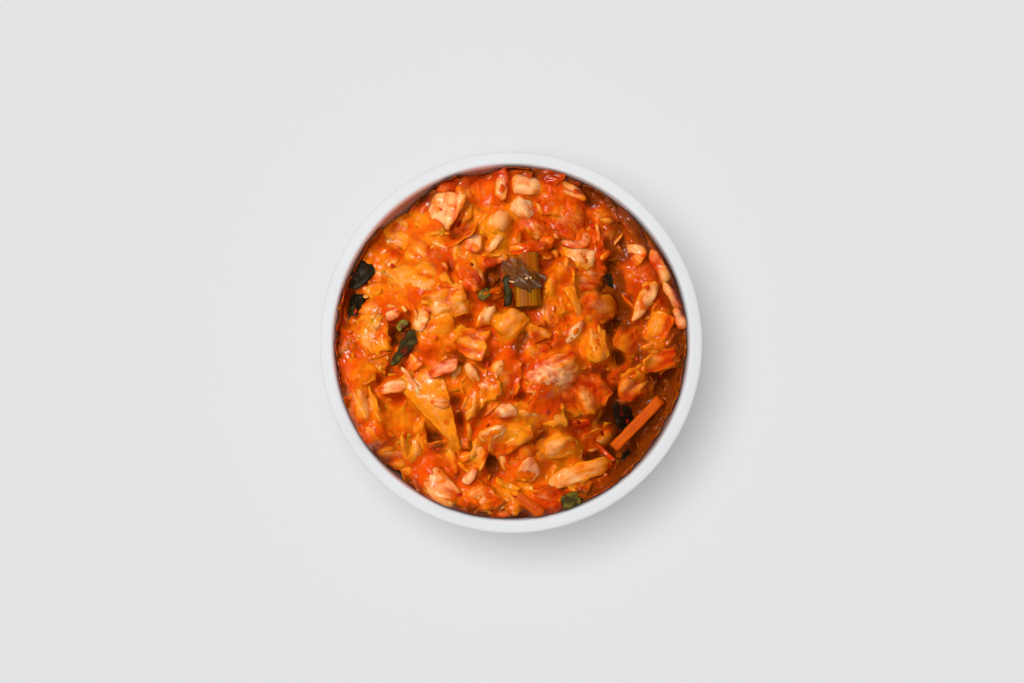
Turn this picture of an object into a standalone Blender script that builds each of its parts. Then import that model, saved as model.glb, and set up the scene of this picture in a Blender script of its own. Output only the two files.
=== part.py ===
"""A small white bowl heaped with kimchi, with a length of spring onion and a carrot stick that lie free.

Run with: blender --background --python part.py. Metres, +Z up. The origin is the middle of the
foot's underside, so the bowl stands on z = 0. +Y points away from the eater.
"""

import math

import bmesh
import bpy
from mathutils import Matrix, Vector, noise

# The bowl: its outside at the lip, its height, and the wall's thickness.
RIM_RADIUS = 0.055
BOWL_HEIGHT = 0.050
WALL = 0.0040
WALL_LEAN = math.radians(11.0)  # how far the wall still leans out where it reaches the lip
LIP_SQUARENESS = 4.0  # 2 is a half circle, more is a flatter lip

# The foot ring and the underside within it.
FOOT_RADIUS = 0.0290
FOOT_HEIGHT = 0.0040
FOOT_WIDTH = 0.0034
UNDERSIDE_HEIGHT = 0.0028
FLOOR_HEIGHT = 0.0078

# The heap: its level at the wall and how far its dome rises above that.
EDGE_LEVEL = 0.0470
DOME_RISE = 0.0115
DOME_CENTRE = Vector((-0.004, -0.002))
DOME_FLAT_RADIUS = 0.004
DOME_FOOT_RADIUS = 0.054
VALLEY_DROP = 0.0036  # a valley between the dome's right flank and the wall
VALLEY_REACH = 0.037
VALLEY_WIDTH = 0.007
LUMP_SIZE = 0.0085  # the pieces that push the surface up
LUMP_HEIGHT = 0.0019
CRUMB_SIZE = 0.0042
CRUMB_HEIGHT = 0.0007

# Hollows where the heap falls short of the wall: turn and half-width in degrees, and depth.
HOLLOWS = (
    (58, 9, 0.0034),
    (101, 8, 0.0046),
    (137, 14, 0.0086),
    (166, 11, 0.0060),
    (232, 8, 0.0042),
    (317, 13, 0.0084),
    (348, 9, 0.0044),
)
HOLLOW_START = 0.034  # the radius where the hollows begin to fall away
HOLLOW_END = 0.047

# The spring onion: a flattened, ribbed length of stalk.
ONION_LENGTH = 0.0170
ONION_WIDTH = 0.0078
ONION_THICKNESS = 0.0042
ONION_RIBS = 9
ONION_RIB_DEPTH = 0.035  # as a share of the radius
ONION_PLACE = Vector((0.0048, 0.0178))
ONION_HEADING = math.radians(93.0)
ONION_PITCH = math.radians(-9.0)

# The carrot stick: a square matchstick leaning in the gap beside the heap.
CARROT_LENGTH = 0.0200
CARROT_SIDE = 0.0033
CARROT_PLACE = Vector((0.0366, -0.0236))
CARROT_HEADING = math.radians(46.0)
CARROT_PITCH = math.radians(4.0)
CARROT_LIFT = 0.0012

CLEARANCE = 0.0004  # between pieces that touch
TURNS = 76  # facets round the bowl and the heap


# ---------------------------------------------------------------- outlines


def wall_arc():
    """The arc that the wall's outside follows: its centre and radius in (radius, height).

    It passes through the top of the foot and reaches the lip at WALL_LEAN from upright.
    """
    outward = Vector((math.cos(WALL_LEAN), -math.sin(WALL_LEAN)))
    lip_middle = Vector((RIM_RADIUS - WALL / 2, BOWL_HEIGHT - WALL / 2))
    top = lip_middle + outward * WALL / 2
    chord = top - Vector((FOOT_RADIUS, FOOT_HEIGHT))
    radius = chord.length_squared / (2 * chord.dot(outward))
    return top - outward * radius, radius


ARC_CENTRE, ARC_RADIUS = wall_arc()


def along_arc(radius, start, end, steps):
    """Points on the wall's arc family, at angles from start to end."""
    for step in range(steps + 1):
        angle = start + (end - start) * step / steps
        yield ARC_CENTRE + Vector((math.cos(angle), math.sin(angle))) * radius


def arc_angle_at(radius, height):
    """The angle at which the arc of that radius passes through a height."""
    return math.asin((height - ARC_CENTRE.y) / radius)


def inside_radius(height, gap=0.0):
    """The bowl's inner radius at a height, less a gap measured across the wall."""
    radius = ARC_RADIUS - WALL - gap
    return ARC_CENTRE.x + radius * math.cos(arc_angle_at(radius, height))


def lip_points(steps=10):
    """The rounded lip, from the wall's outside over the top to its inside."""
    outward = Vector((math.cos(WALL_LEAN), -math.sin(WALL_LEAN)))
    upward = Vector((math.sin(WALL_LEAN), math.cos(WALL_LEAN)))
    middle = Vector((RIM_RADIUS - WALL / 2, BOWL_HEIGHT - WALL / 2))
    power = 2 / LIP_SQUARENESS
    for step in range(1, steps):
        angle = math.pi * step / steps
        across = math.copysign(abs(math.cos(angle)) ** power, math.cos(angle))
        over = math.sin(angle) ** power
        yield middle + (outward * across + upward * over) * WALL / 2


def bowl_profile():
    """The bowl's section as (radius, height), down its outside, under it, then up its inside."""
    lip_angle = -WALL_LEAN
    foot_angle = arc_angle_at(ARC_RADIUS, FOOT_HEIGHT)
    floor_arc = ARC_RADIUS - WALL
    floor_angle = arc_angle_at(floor_arc, FLOOR_HEIGHT)
    foot_edge = 0.0006
    inner_foot = FOOT_RADIUS - FOOT_WIDTH

    section = list(along_arc(ARC_RADIUS, lip_angle, foot_angle, 11))
    section += [
        Vector((FOOT_RADIUS - foot_edge, foot_edge)),
        Vector((FOOT_RADIUS - 2 * foot_edge, 0.0)),
        Vector((inner_foot + foot_edge, 0.0)),
        Vector((inner_foot, foot_edge)),
        Vector((inner_foot - foot_edge, UNDERSIDE_HEIGHT)),
        Vector((0.0, UNDERSIDE_HEIGHT)),
        Vector((0.0, FLOOR_HEIGHT)),
    ]
    section += along_arc(floor_arc, floor_angle, lip_angle, 10)
    section += reversed(list(lip_points()))
    return section


# ---------------------------------------------------------------- making solids


def new_object(name, mesh_builder, colour, roughness):
    """Links a new object whose mesh comes from a bmesh, with its own material."""
    mesh = bpy.data.meshes.new(name)
    bmesh.ops.recalc_face_normals(mesh_builder, faces=mesh_builder.faces)
    mesh_builder.to_mesh(mesh)
    mesh_builder.free()
    mesh.shade_smooth()
    mesh.set_sharp_from_angle(angle=math.radians(50))
    made = bpy.data.objects.new(name, mesh)
    bpy.context.scene.collection.objects.link(made)
    material = bpy.data.materials.new(name)
    material.use_nodes = True
    shader = material.node_tree.nodes["Principled BSDF"]
    shader.inputs["Base Color"].default_value = (*colour, 1.0)
    shader.inputs["Roughness"].default_value = roughness
    shader.inputs["Metallic"].default_value = 0.0
    mesh.materials.append(material)
    return made


def skin_rings(builder, rings):
    """Faces between rings of vertices. A ring may have half as many as the one before, or be one pole."""
    for lower, upper in zip(rings, rings[1:]):
        if len(lower) == 2 * len(upper):
            skin_halved(builder, lower, upper)
            continue
        count = max(len(lower), len(upper))
        for i in range(count):
            j = (i + 1) % count
            if len(lower) == 1:
                builder.faces.new((lower[0], upper[j], upper[i]))
            elif len(upper) == 1:
                builder.faces.new((lower[i], lower[j], upper[0]))
            else:
                builder.faces.new((lower[i], lower[j], upper[j], upper[i]))


def skin_halved(builder, lower, upper):
    """Faces from a ring to one with half as many vertices."""
    for i, inner in enumerate(upper):
        before, between, after = (lower[(2 * i + k) % len(lower)] for k in range(3))
        builder.faces.new((before, between, inner))
        builder.faces.new((between, after, upper[(i + 1) % len(upper)], inner))


def ring(builder, radius, height):
    """A level ring of TURNS vertices, or a single vertex on the axis."""
    if radius == 0.0:
        return [builder.verts.new((0.0, 0.0, height))]
    made = []
    for i in range(TURNS):
        turn = 2 * math.pi * i / TURNS
        made.append(builder.verts.new((radius * math.cos(turn), radius * math.sin(turn), height)))
    return made


# ---------------------------------------------------------------- the pieces


def make_bowl():
    builder = bmesh.new()
    section = bowl_profile()
    axis_low = next(i for i, p in enumerate(section) if p.x == 0.0)
    around = section[axis_low + 1 :] + section[: axis_low + 1]
    skin_rings(builder, [ring(builder, p.x, p.y) for p in around])
    return new_object("bowl", builder, (0.86, 0.87, 0.88), 0.22)


def smooth_fall(start, end, value):
    """1 up to start, 0 beyond end, and a smooth fall between them."""
    share = min(1.0, max(0.0, (value - start) / (end - start)))
    return 1.0 - share * share * (3.0 - 2.0 * share)


def hollows(x, y):
    """How far the hollows by the wall lower the heap at a point."""
    outward = 1.0 - smooth_fall(HOLLOW_START, HOLLOW_END, math.hypot(x, y))
    turn = math.degrees(math.atan2(y, x))
    total = 0.0
    for middle, half_width, depth in HOLLOWS:
        apart = (turn - middle + 180.0) % 360.0 - 180.0
        total += depth * math.exp(-((apart / half_width) ** 2))
    return outward * total


def heap_without_beds(x, y):
    """The height of the heap's top, with its dome, its valley, its hollows and its lumps."""
    from_dome = Vector((x, y)) - DOME_CENTRE
    reach = from_dome.length
    dome = DOME_RISE * smooth_fall(DOME_FLAT_RADIUS, DOME_FOOT_RADIUS, reach)
    to_the_right = max(0.0, from_dome.x / max(reach, DOME_FLAT_RADIUS))
    valley = VALLEY_DROP * to_the_right * math.exp(-(((reach - VALLEY_REACH) / VALLEY_WIDTH) ** 2))
    lumps = LUMP_HEIGHT * noise.noise(Vector((x, y, 0.0)) / LUMP_SIZE + Vector((3.7, 1.9, 0.4)))
    crumbs = CRUMB_HEIGHT * noise.noise(Vector((x, y, 0.0)) / CRUMB_SIZE + Vector((8.2, 5.1, 2.3)))
    return EDGE_LEVEL + dome - valley - hollows(x, y) + lumps + crumbs


class LyingPiece:
    """A straight piece that lies in a bed in the heap's top."""

    def __init__(self, place, heading, pitch, length, width, thickness, lift):
        self.length = length
        self.width = width
        height = heap_without_beds(place.x, place.y) + lift
        turned = Matrix.Rotation(heading, 4, "Z") @ Matrix.Rotation(-pitch, 4, "Y")
        self.matrix = Matrix.Translation((place.x, place.y, height)) @ turned
        self.inverse = self.matrix.inverted()
        self.half_thickness = thickness / 2

    def underside_at(self, x, y):
        """The height of the piece's lower face over a point."""
        centre = self.matrix.translation
        normal = self.matrix.col[2].to_3d()
        lean = normal.x * (x - centre.x) + normal.y * (y - centre.y)
        return centre.z - (lean + self.half_thickness) / normal.z

    def bed_limit(self, x, y, margin=0.0030, bank_slope=0.9):
        """How high the heap may reach over a point: flat under the piece, rising beyond a margin."""
        under = self.underside_at(x, y) - CLEARANCE
        local = self.inverse @ Vector((x, y, self.matrix.translation.z))
        beyond = Vector(
            (
                max(0.0, abs(local.x) - self.length / 2),
                max(0.0, abs(local.y) - self.width / 2),
            )
        )
        return under + max(0.0, beyond.length - margin) * bank_slope


def lying_onion():
    return LyingPiece(
        ONION_PLACE, ONION_HEADING, ONION_PITCH, ONION_LENGTH, ONION_WIDTH, ONION_THICKNESS, 0.0004
    )


def lying_carrot():
    return LyingPiece(
        CARROT_PLACE,
        CARROT_HEADING,
        CARROT_PITCH,
        CARROT_LENGTH,
        CARROT_SIDE,
        CARROT_SIDE,
        CARROT_LIFT,
    )


def lower_of(a, b, blend=0.0012):
    """The lower of two heights, rounded off where they are nearly equal. Never above either."""
    overlap = max(0.0, blend - abs(a - b)) / blend
    return min(a, b) - overlap * overlap * blend / 4


def heap_top(x, y, beds):
    """The height of the heap's top, lowered under each lying piece."""
    height = heap_without_beds(x, y)
    for bed in beds:
        height = lower_of(height, bed.bed_limit(x, y))
    return height


def make_kimchi(beds):
    """The heap as one solid: it fills the bowl to its wall and ends in the uneven top."""
    builder = bmesh.new()
    side_rings = 8
    top_rings = 20
    floor = FLOOR_HEIGHT + CLEARANCE
    outer_radius = inside_radius(EDGE_LEVEL, CLEARANCE)
    turns = [2 * math.pi * i / TURNS for i in range(TURNS)]
    edge_heights = [
        heap_top(outer_radius * math.cos(turn), outer_radius * math.sin(turn), beds)
        for turn in turns
    ]

    rings = [[builder.verts.new((0.0, 0.0, floor))]]
    for step in range(side_rings + 1):
        side = []
        for turn, edge in zip(turns, edge_heights):
            height = floor + (edge - floor) * step / side_rings
            radius = inside_radius(height, CLEARANCE)
            side.append(
                builder.verts.new((radius * math.cos(turn), radius * math.sin(turn), height))
            )
        rings.append(side)
    for step in range(top_rings - 1, 0, -1):
        share = step / top_rings
        thinned = 1 if share > 0.46 else 2 if share > 0.21 else 4
        level = []
        for turn, edge in list(zip(turns, edge_heights))[::thinned]:
            radius = inside_radius(edge, CLEARANCE) * share
            x, y = radius * math.cos(turn), radius * math.sin(turn)
            level.append(builder.verts.new((x, y, heap_top(x, y, beds))))
        rings.append(level)
    rings.append([builder.verts.new((0.0, 0.0, heap_top(0.0, 0.0, beds)))])
    skin_rings(builder, rings)
    return new_object("kimchi", builder, (0.77, 0.13, 0.01), 0.30)


def make_stick(name, piece, section, colour, roughness, end_round):
    """A straight stick along the piece's X axis, with one section all along and eased ends."""
    builder = bmesh.new()
    half = piece.length / 2
    stations = [(-half, 1 - 2 * end_round), (-half + end_round * piece.width, 1.0)]
    stations += [(-x, scale) for x, scale in reversed(stations)]
    rings = [[builder.verts.new((-half, 0.0, 0.0))]]
    for x, scale in stations:
        rings.append([builder.verts.new((x, y * scale, z * scale)) for y, z in section])
    rings.append([builder.verts.new((half, 0.0, 0.0))])
    skin_rings(builder, rings)
    made = new_object(name, builder, colour, roughness)
    made.matrix_world = piece.matrix
    return made


def make_spring_onion(piece):
    """A flattened stalk with ribs all round."""
    points = 4 * ONION_RIBS
    section = []
    for i in range(points):
        turn = 2 * math.pi * i / points
        swell = 1 - ONION_RIB_DEPTH * (1 + math.cos(ONION_RIBS * turn)) / 2
        section.append(
            (
                ONION_WIDTH / 2 * swell * math.cos(turn),
                ONION_THICKNESS / 2 * swell * math.sin(turn),
            )
        )
    return make_stick("spring_onion", piece, section, (0.24, 0.16, 0.01), 0.28, 0.06)


def make_carrot_stick(piece):
    """A square stick with its long edges taken off."""
    half = CARROT_SIDE / 2
    cut = half * 0.72
    section = [
        (half, -cut),
        (half, cut),
        (cut, half),
        (-cut, half),
        (-half, cut),
        (-half, -cut),
        (-cut, -half),
        (cut, -half),
    ]
    return make_stick("carrot_stick", piece, section, (0.72, 0.12, 0.005), 0.35, 0.10)


def clear_scene():
    for old in list(bpy.data.objects):
        bpy.data.objects.remove(old)


def main():
    clear_scene()
    onion = lying_onion()
    carrot = lying_carrot()
    make_bowl()
    make_kimchi([onion, carrot])
    make_spring_onion(onion)
    make_carrot_stick(carrot)


main()
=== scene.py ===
"""The looks of a small white bowl heaped with kimchi.

The bowl is turned finely and glazed. The heap is laid piece by piece, as it would be spooned: limp leaves,
thick pale ribs, shreds, greens, carrot and chilli are each cut as a closed mesh, bent, and laid on what lies
there already, over a smaller core of sauce and pulp. Lengths are in metres unless a name or a comment says
otherwise.
"""

import math
from dataclasses import dataclass, replace

import bpy
import numpy as np
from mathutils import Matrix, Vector
from mathutils.bvhtree import BVHTree


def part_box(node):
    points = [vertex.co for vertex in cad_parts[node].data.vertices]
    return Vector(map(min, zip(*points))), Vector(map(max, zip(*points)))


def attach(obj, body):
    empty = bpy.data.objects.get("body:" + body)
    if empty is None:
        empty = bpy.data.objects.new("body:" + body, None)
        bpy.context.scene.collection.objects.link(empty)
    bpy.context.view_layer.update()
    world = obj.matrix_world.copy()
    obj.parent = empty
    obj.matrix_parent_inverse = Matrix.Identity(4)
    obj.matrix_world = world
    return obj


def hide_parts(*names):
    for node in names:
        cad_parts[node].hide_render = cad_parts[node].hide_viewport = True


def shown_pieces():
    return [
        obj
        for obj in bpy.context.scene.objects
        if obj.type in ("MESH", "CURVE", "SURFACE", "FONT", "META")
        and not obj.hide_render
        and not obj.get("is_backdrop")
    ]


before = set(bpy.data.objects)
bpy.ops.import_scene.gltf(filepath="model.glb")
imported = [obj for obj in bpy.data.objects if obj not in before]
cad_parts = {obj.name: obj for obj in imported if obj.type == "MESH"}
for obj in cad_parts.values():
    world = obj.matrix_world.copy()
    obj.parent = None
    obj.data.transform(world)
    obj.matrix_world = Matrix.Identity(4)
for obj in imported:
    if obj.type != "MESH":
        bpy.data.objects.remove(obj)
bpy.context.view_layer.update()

MM = 0.001
SEED = 29

# The bowl, as its CAD solid has it.
RIM_RADIUS = 55.0 * MM
BOWL_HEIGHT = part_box("bowl")[1].z
WALL = 4.0 * MM
WALL_LEAN = math.radians(11.0)
LIP_SQUARENESS = 4.0
FOOT_RADIUS = 29.0 * MM
FOOT_HEIGHT = 4.0 * MM
FOOT_WIDTH = 3.4 * MM
FOOT_ROUNDING = 0.6 * MM
UNDERSIDE_HEIGHT = 2.8 * MM
FLOOR_HEIGHT = 7.8 * MM
BOWL_TURNS = 288
OUTSIDE_STEPS, LIP_STEPS, INSIDE_STEPS = 40, 22, 36
GLAZE_SWELL = 0.05 * MM

# The heap's map: heights on a square grid.
CELL = 0.5 * MM
HALF_SPAN = 54.0 * MM
CELLS = int(round(2 * HALF_SPAN / CELL)) + 1
FOOD_RADIUS = 49.0 * MM
BED_DEPTH = 6.5 * MM
GIVE = 0.7 * MM
LUMP_HEIGHT = 0.9 * MM
LUMP_LENGTH = 13.0 * MM
WALL_GAP = 0.12 * MM
# The bank of food at the wall: how far it rises, and the radius and the height of heap from which it grows.
BANK = 2.4 * MM
BANK_START, BANK_RUN = 38.0 * MM, 10.0 * MM
BANK_LEVEL, BANK_RISE = 42.5 * MM, 3.0 * MM
# On the right, beyond this edge, the bank shrinks to its least share.
BANK_EDGE, BANK_FALL = 34.0 * MM, 10.0 * MM
LEAST_BANK = 0.35
# Painted shade: how far the food's colour is darkened where less light reaches it: by depth, in hollows, at
# the wall and on the right.
FULL_SHADE_DEPTH = 5.0 * MM
LEAST_DEPTH_SHADE = -0.15
DIP_SHADE = 1.0
WALL_SHADE = 0.55
WALL_SHADE_START, WALL_SHADE_RUN = 44.0 * MM, 6.0 * MM
RIGHT_SHADE = 0.47
RIGHT_SHADE_START, RIGHT_SHADE_RUN = 18.0 * MM, 14.0 * MM
# Gaps between the pieces: (place), reach and depth, in millimetres.
DIPS = (((-5.2, 17.8), 2.4, 5.0), ((2.0, -2.0), 2.2, 1.3), ((2.8, -7.5), 1.6, 1.3), ((23.5, 41.0), 3.5, 3.5),
        ((30.2, 18.0), 3.4, 3.5), ((31.5, 5.0), 2.8, 3.5), ((45.0, -12.0), 4.0, 3.5),
        ((32.4, -22.0), 3.8, 4.0), ((36.0, -32.0), 3.5, 4.5), ((-5.8, -34.0), 2.6, 4.0),
        ((-20.5, -30.0), 2.2, 3.0), ((-47.0, 12.0), 5.0, 3.0), ((-12.3, 14.0), 1.6, 3.0),
        ((-12.4, 36.5), 2.4, 2.5), ((9.5, 12.0), 1.6, 2.0), ((-31.0, 4.0), 1.6, 2.5))

# The two toppings, as their CAD solids lie.
ONION_LENGTH = 17.0 * MM
ONION_WIDTH = 7.6 * MM
ONION_THICKNESS = 4.2 * MM
ONION_HEADING = math.radians(93.0)
ONION_PITCH = math.radians(-9.0)
# The stalk's inside, as a share of its outside.
ONION_WALL = 0.72
ONION_AROUND = 180
# Each layer's lower and upper end, as shares of half the length, its width as a share of the stalk's, the
# number of its ribs, how ragged its upper edge is, and how far it lies to the left, both in millimetres.
ONION_LAYERS = ((-0.6, 0.98, 0.82, 16, 0.1, -0.2), (-0.8, 0.3, 0.90, 20, 0.25, -0.1),
                (-1.0, 0.0, 0.98, 22, 0.3, 0.2))
# A layer wider than this is the sheath.
SHEATH_WIDTH = 0.9
CARROT_LENGTH = 20.0 * MM
CARROT_SIDE = 3.3 * MM
CARROT_HEADING = math.radians(46.0)
CARROT_PITCH = math.radians(4.0)


# ---------------------------------------------------------------- meshes

class Batch:
    """All cut pieces of one kind, which end as one mesh."""

    def __init__(self, name):
        self.name = name
        self.points = []
        self.quads = []
        self.marks = {"grain": [], "soaked": [], "tone": [], "edge": [], "crest": [], "sunk": []}
        self.count = 0

    def add(self, points, quads, marks):
        """Adds one piece. A mark is a value for each point, or one value for all of them."""
        self.points.append(points)
        self.quads.append(quads + self.count)
        for key, values in marks.items():
            self.marks[key].append(values if np.ndim(values) else np.full(len(points), float(values)))
        self.count += len(points)

    def build(self, material):
        piece = mesh_object(self.name, np.concatenate(self.points), np.concatenate(self.quads), material)
        for key, parts in self.marks.items():
            write_mark(piece, key, np.concatenate(parts))
        return piece


def write_mark(piece, name, values):
    """Gives each point of the piece a value by this name, which its finish reads."""
    kind, field = ("FLOAT_VECTOR", "vector") if values.ndim == 2 else ("FLOAT", "value")
    layer = piece.data.attributes.new(name, kind, "POINT")
    layer.data.foreach_set(field, values.astype(np.float32).ravel())


def mesh_object(name, points, quads, *materials):
    """A smooth object from points and four-cornered faces. A repeated last corner makes a triangle."""
    mesh = bpy.data.meshes.new(name)
    triangle = quads[:, 3] == quads[:, 2]
    sizes = np.where(triangle, 3, 4)
    starts = np.concatenate(([0], np.cumsum(sizes)[:-1]))
    kept = np.ones(quads.shape, bool)
    kept[triangle, 3] = False
    corners = quads[kept]
    mesh.vertices.add(len(points))
    mesh.vertices.foreach_set("co", points.astype(np.float32).ravel())
    mesh.loops.add(len(corners))
    mesh.loops.foreach_set("vertex_index", corners.astype(np.int32))
    mesh.polygons.add(len(quads))
    mesh.polygons.foreach_set("loop_start", starts.astype(np.int32))
    mesh.update(calc_edges=True)
    mesh.validate()
    mesh.shade_smooth()
    for material in materials:
        mesh.materials.append(material)
    piece = bpy.data.objects.new(name, mesh)
    bpy.context.scene.collection.objects.link(piece)
    return piece


def band(loop, next_loop):
    """Faces between two closed loops of as many points."""
    return np.stack([loop, np.roll(loop, -1), np.roll(next_loop, -1), next_loop], -1)


def ring_quads(rings, around):
    """Faces between rings of points that lie one after another, each closed on itself."""
    loops = np.arange(rings * around).reshape(rings, around)
    return np.concatenate([band(loop, next_loop) for loop, next_loop in zip(loops[:-1], loops[1:])])


def fan(loop, middle):
    """Triangles between a closed loop of points and its middle point."""
    middles = np.full_like(loop, middle)
    return np.stack([loop, np.roll(loop, -1), middles, middles], -1)


# ---------------------------------------------------------------- the bowl

def wall_arc():
    """Middle and radius, in the (radius, height) plane, of the arc that the wall's outside follows."""
    outward = Vector((math.cos(WALL_LEAN), -math.sin(WALL_LEAN)))
    lip_middle = Vector((RIM_RADIUS - WALL / 2, BOWL_HEIGHT - WALL / 2))
    top = lip_middle + outward * WALL / 2
    chord = top - Vector((FOOT_RADIUS, FOOT_HEIGHT))
    radius = chord.length_squared / (2 * chord.dot(outward))
    return top - outward * radius, radius


ARC_MIDDLE, ARC_RADIUS = wall_arc()
INNER_RADIUS = ARC_RADIUS - WALL


def inside_radius(height):
    """Radius of the bowl's inside at these heights."""
    level = np.minimum(height, BOWL_HEIGHT - WALL / 2) - ARC_MIDDLE.y
    return ARC_MIDDLE.x + np.sqrt(np.maximum(INNER_RADIUS ** 2 - level ** 2, 1e-9))


def arc_points(radius, start, end, steps):
    """Points along an arc about the wall's arc middle, as (radius, height)."""
    angles = np.linspace(start, end, steps + 1)
    return [(ARC_MIDDLE.x + radius * math.cos(a), ARC_MIDDLE.y + radius * math.sin(a)) for a in angles]


def lip_points():
    """The rounded top of the wall, from its outside over to its inside."""
    outward = Vector((math.cos(WALL_LEAN), -math.sin(WALL_LEAN)))
    upward = Vector((math.sin(WALL_LEAN), math.cos(WALL_LEAN)))
    middle = Vector((RIM_RADIUS - WALL / 2, BOWL_HEIGHT - WALL / 2))
    power = 2 / LIP_SQUARENESS
    points = []
    for step in range(1, LIP_STEPS):
        angle = math.pi * step / LIP_STEPS
        across = math.copysign(abs(math.cos(angle)) ** power, math.cos(angle))
        over = math.sin(angle) ** power
        points.append(tuple(middle + (outward * across + upward * over) * WALL / 2))
    return points


def bowl_profile():
    """The bowl's cut outline as (radius, height), from the middle underneath round to the middle inside."""
    inner_foot = FOOT_RADIUS - FOOT_WIDTH
    low_angle = math.asin((FOOT_HEIGHT - ARC_MIDDLE.y) / ARC_RADIUS)
    floor_angle = math.asin((FLOOR_HEIGHT - ARC_MIDDLE.y) / INNER_RADIUS)
    profile = [(inner_foot * share, UNDERSIDE_HEIGHT) for share in (0.25, 0.5, 0.75, 0.95)]
    profile += [(inner_foot, FOOT_ROUNDING), (inner_foot + FOOT_ROUNDING, 0.0)]
    profile += [(FOOT_RADIUS - 2 * FOOT_ROUNDING, 0.0), (FOOT_RADIUS - FOOT_ROUNDING, FOOT_ROUNDING)]
    profile += arc_points(ARC_RADIUS, low_angle, -WALL_LEAN, OUTSIDE_STEPS)
    profile += lip_points()
    profile += arc_points(INNER_RADIUS, -WALL_LEAN, floor_angle, INSIDE_STEPS)
    floor_radius = profile[-1][0]
    profile += [(floor_radius * share, FLOOR_HEIGHT) for share in (0.75, 0.5, 0.25)]
    return np.array(profile)


def make_bowl(glaze, biscuit):
    """The turned bowl, whose glaze swells and thins a little, with a bare foot."""
    profile = bowl_profile()
    turns = np.linspace(0, 2 * np.pi, BOWL_TURNS, endpoint=False)
    radius, turn = np.meshgrid(profile[:, 0], turns, indexing="ij")
    height = np.repeat(profile[:, 1:], BOWL_TURNS, axis=1)
    swell = np.sin(3 * turn + 60 * height) + np.sin(5 * turn - 110 * height + 1.0) + np.sin(2 * turn + 2.0)
    radius = radius + GLAZE_SWELL * swell * np.clip(height / FOOT_HEIGHT - 1, 0, 1) / 2
    points = np.stack([radius * np.cos(turn), radius * np.sin(turn), height], -1).reshape(-1, 3)
    rings = len(profile)
    quads = ring_quads(rings, BOWL_TURNS)
    middles = np.array([[0, 0, UNDERSIDE_HEIGHT], [0, 0, FLOOR_HEIGHT]])
    first_ring = np.arange(BOWL_TURNS)
    last_ring = first_ring + (rings - 1) * BOWL_TURNS
    ends = [fan(first_ring[::-1], len(points)), fan(last_ring, len(points) + 1)]
    bowl = mesh_object("glazed_bowl", np.concatenate([points, middles]), np.concatenate([quads, *ends]),
                       glaze, biscuit)
    from_arc_middle = np.hypot(radius - ARC_MIDDLE.x, height - ARC_MIDDLE.y).ravel()
    inside = (from_arc_middle < ARC_RADIUS - WALL / 2) & (height.ravel() > FOOT_HEIGHT)
    write_mark(bowl, "inside", np.concatenate([inside, [False, True]]))
    for face in bowl.data.polygons:
        if face.center.z < FOOT_ROUNDING:
            face.material_index = 1
    return bowl


# ---------------------------------------------------------------- the heap's map

def blurred(count, spread):
    """A matrix that blurs a row of cells by this spread, in cells."""
    steps = np.arange(count)
    weights = np.exp(-0.5 * ((steps[:, None] - steps[None, :]) / spread) ** 2)
    return weights / weights.sum(1, keepdims=True)


def ramped(values, start, run):
    """0 up to the start, 1 from the end of the run, and straight between."""
    return np.clip((values - start) / run, 0, 1)


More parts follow.
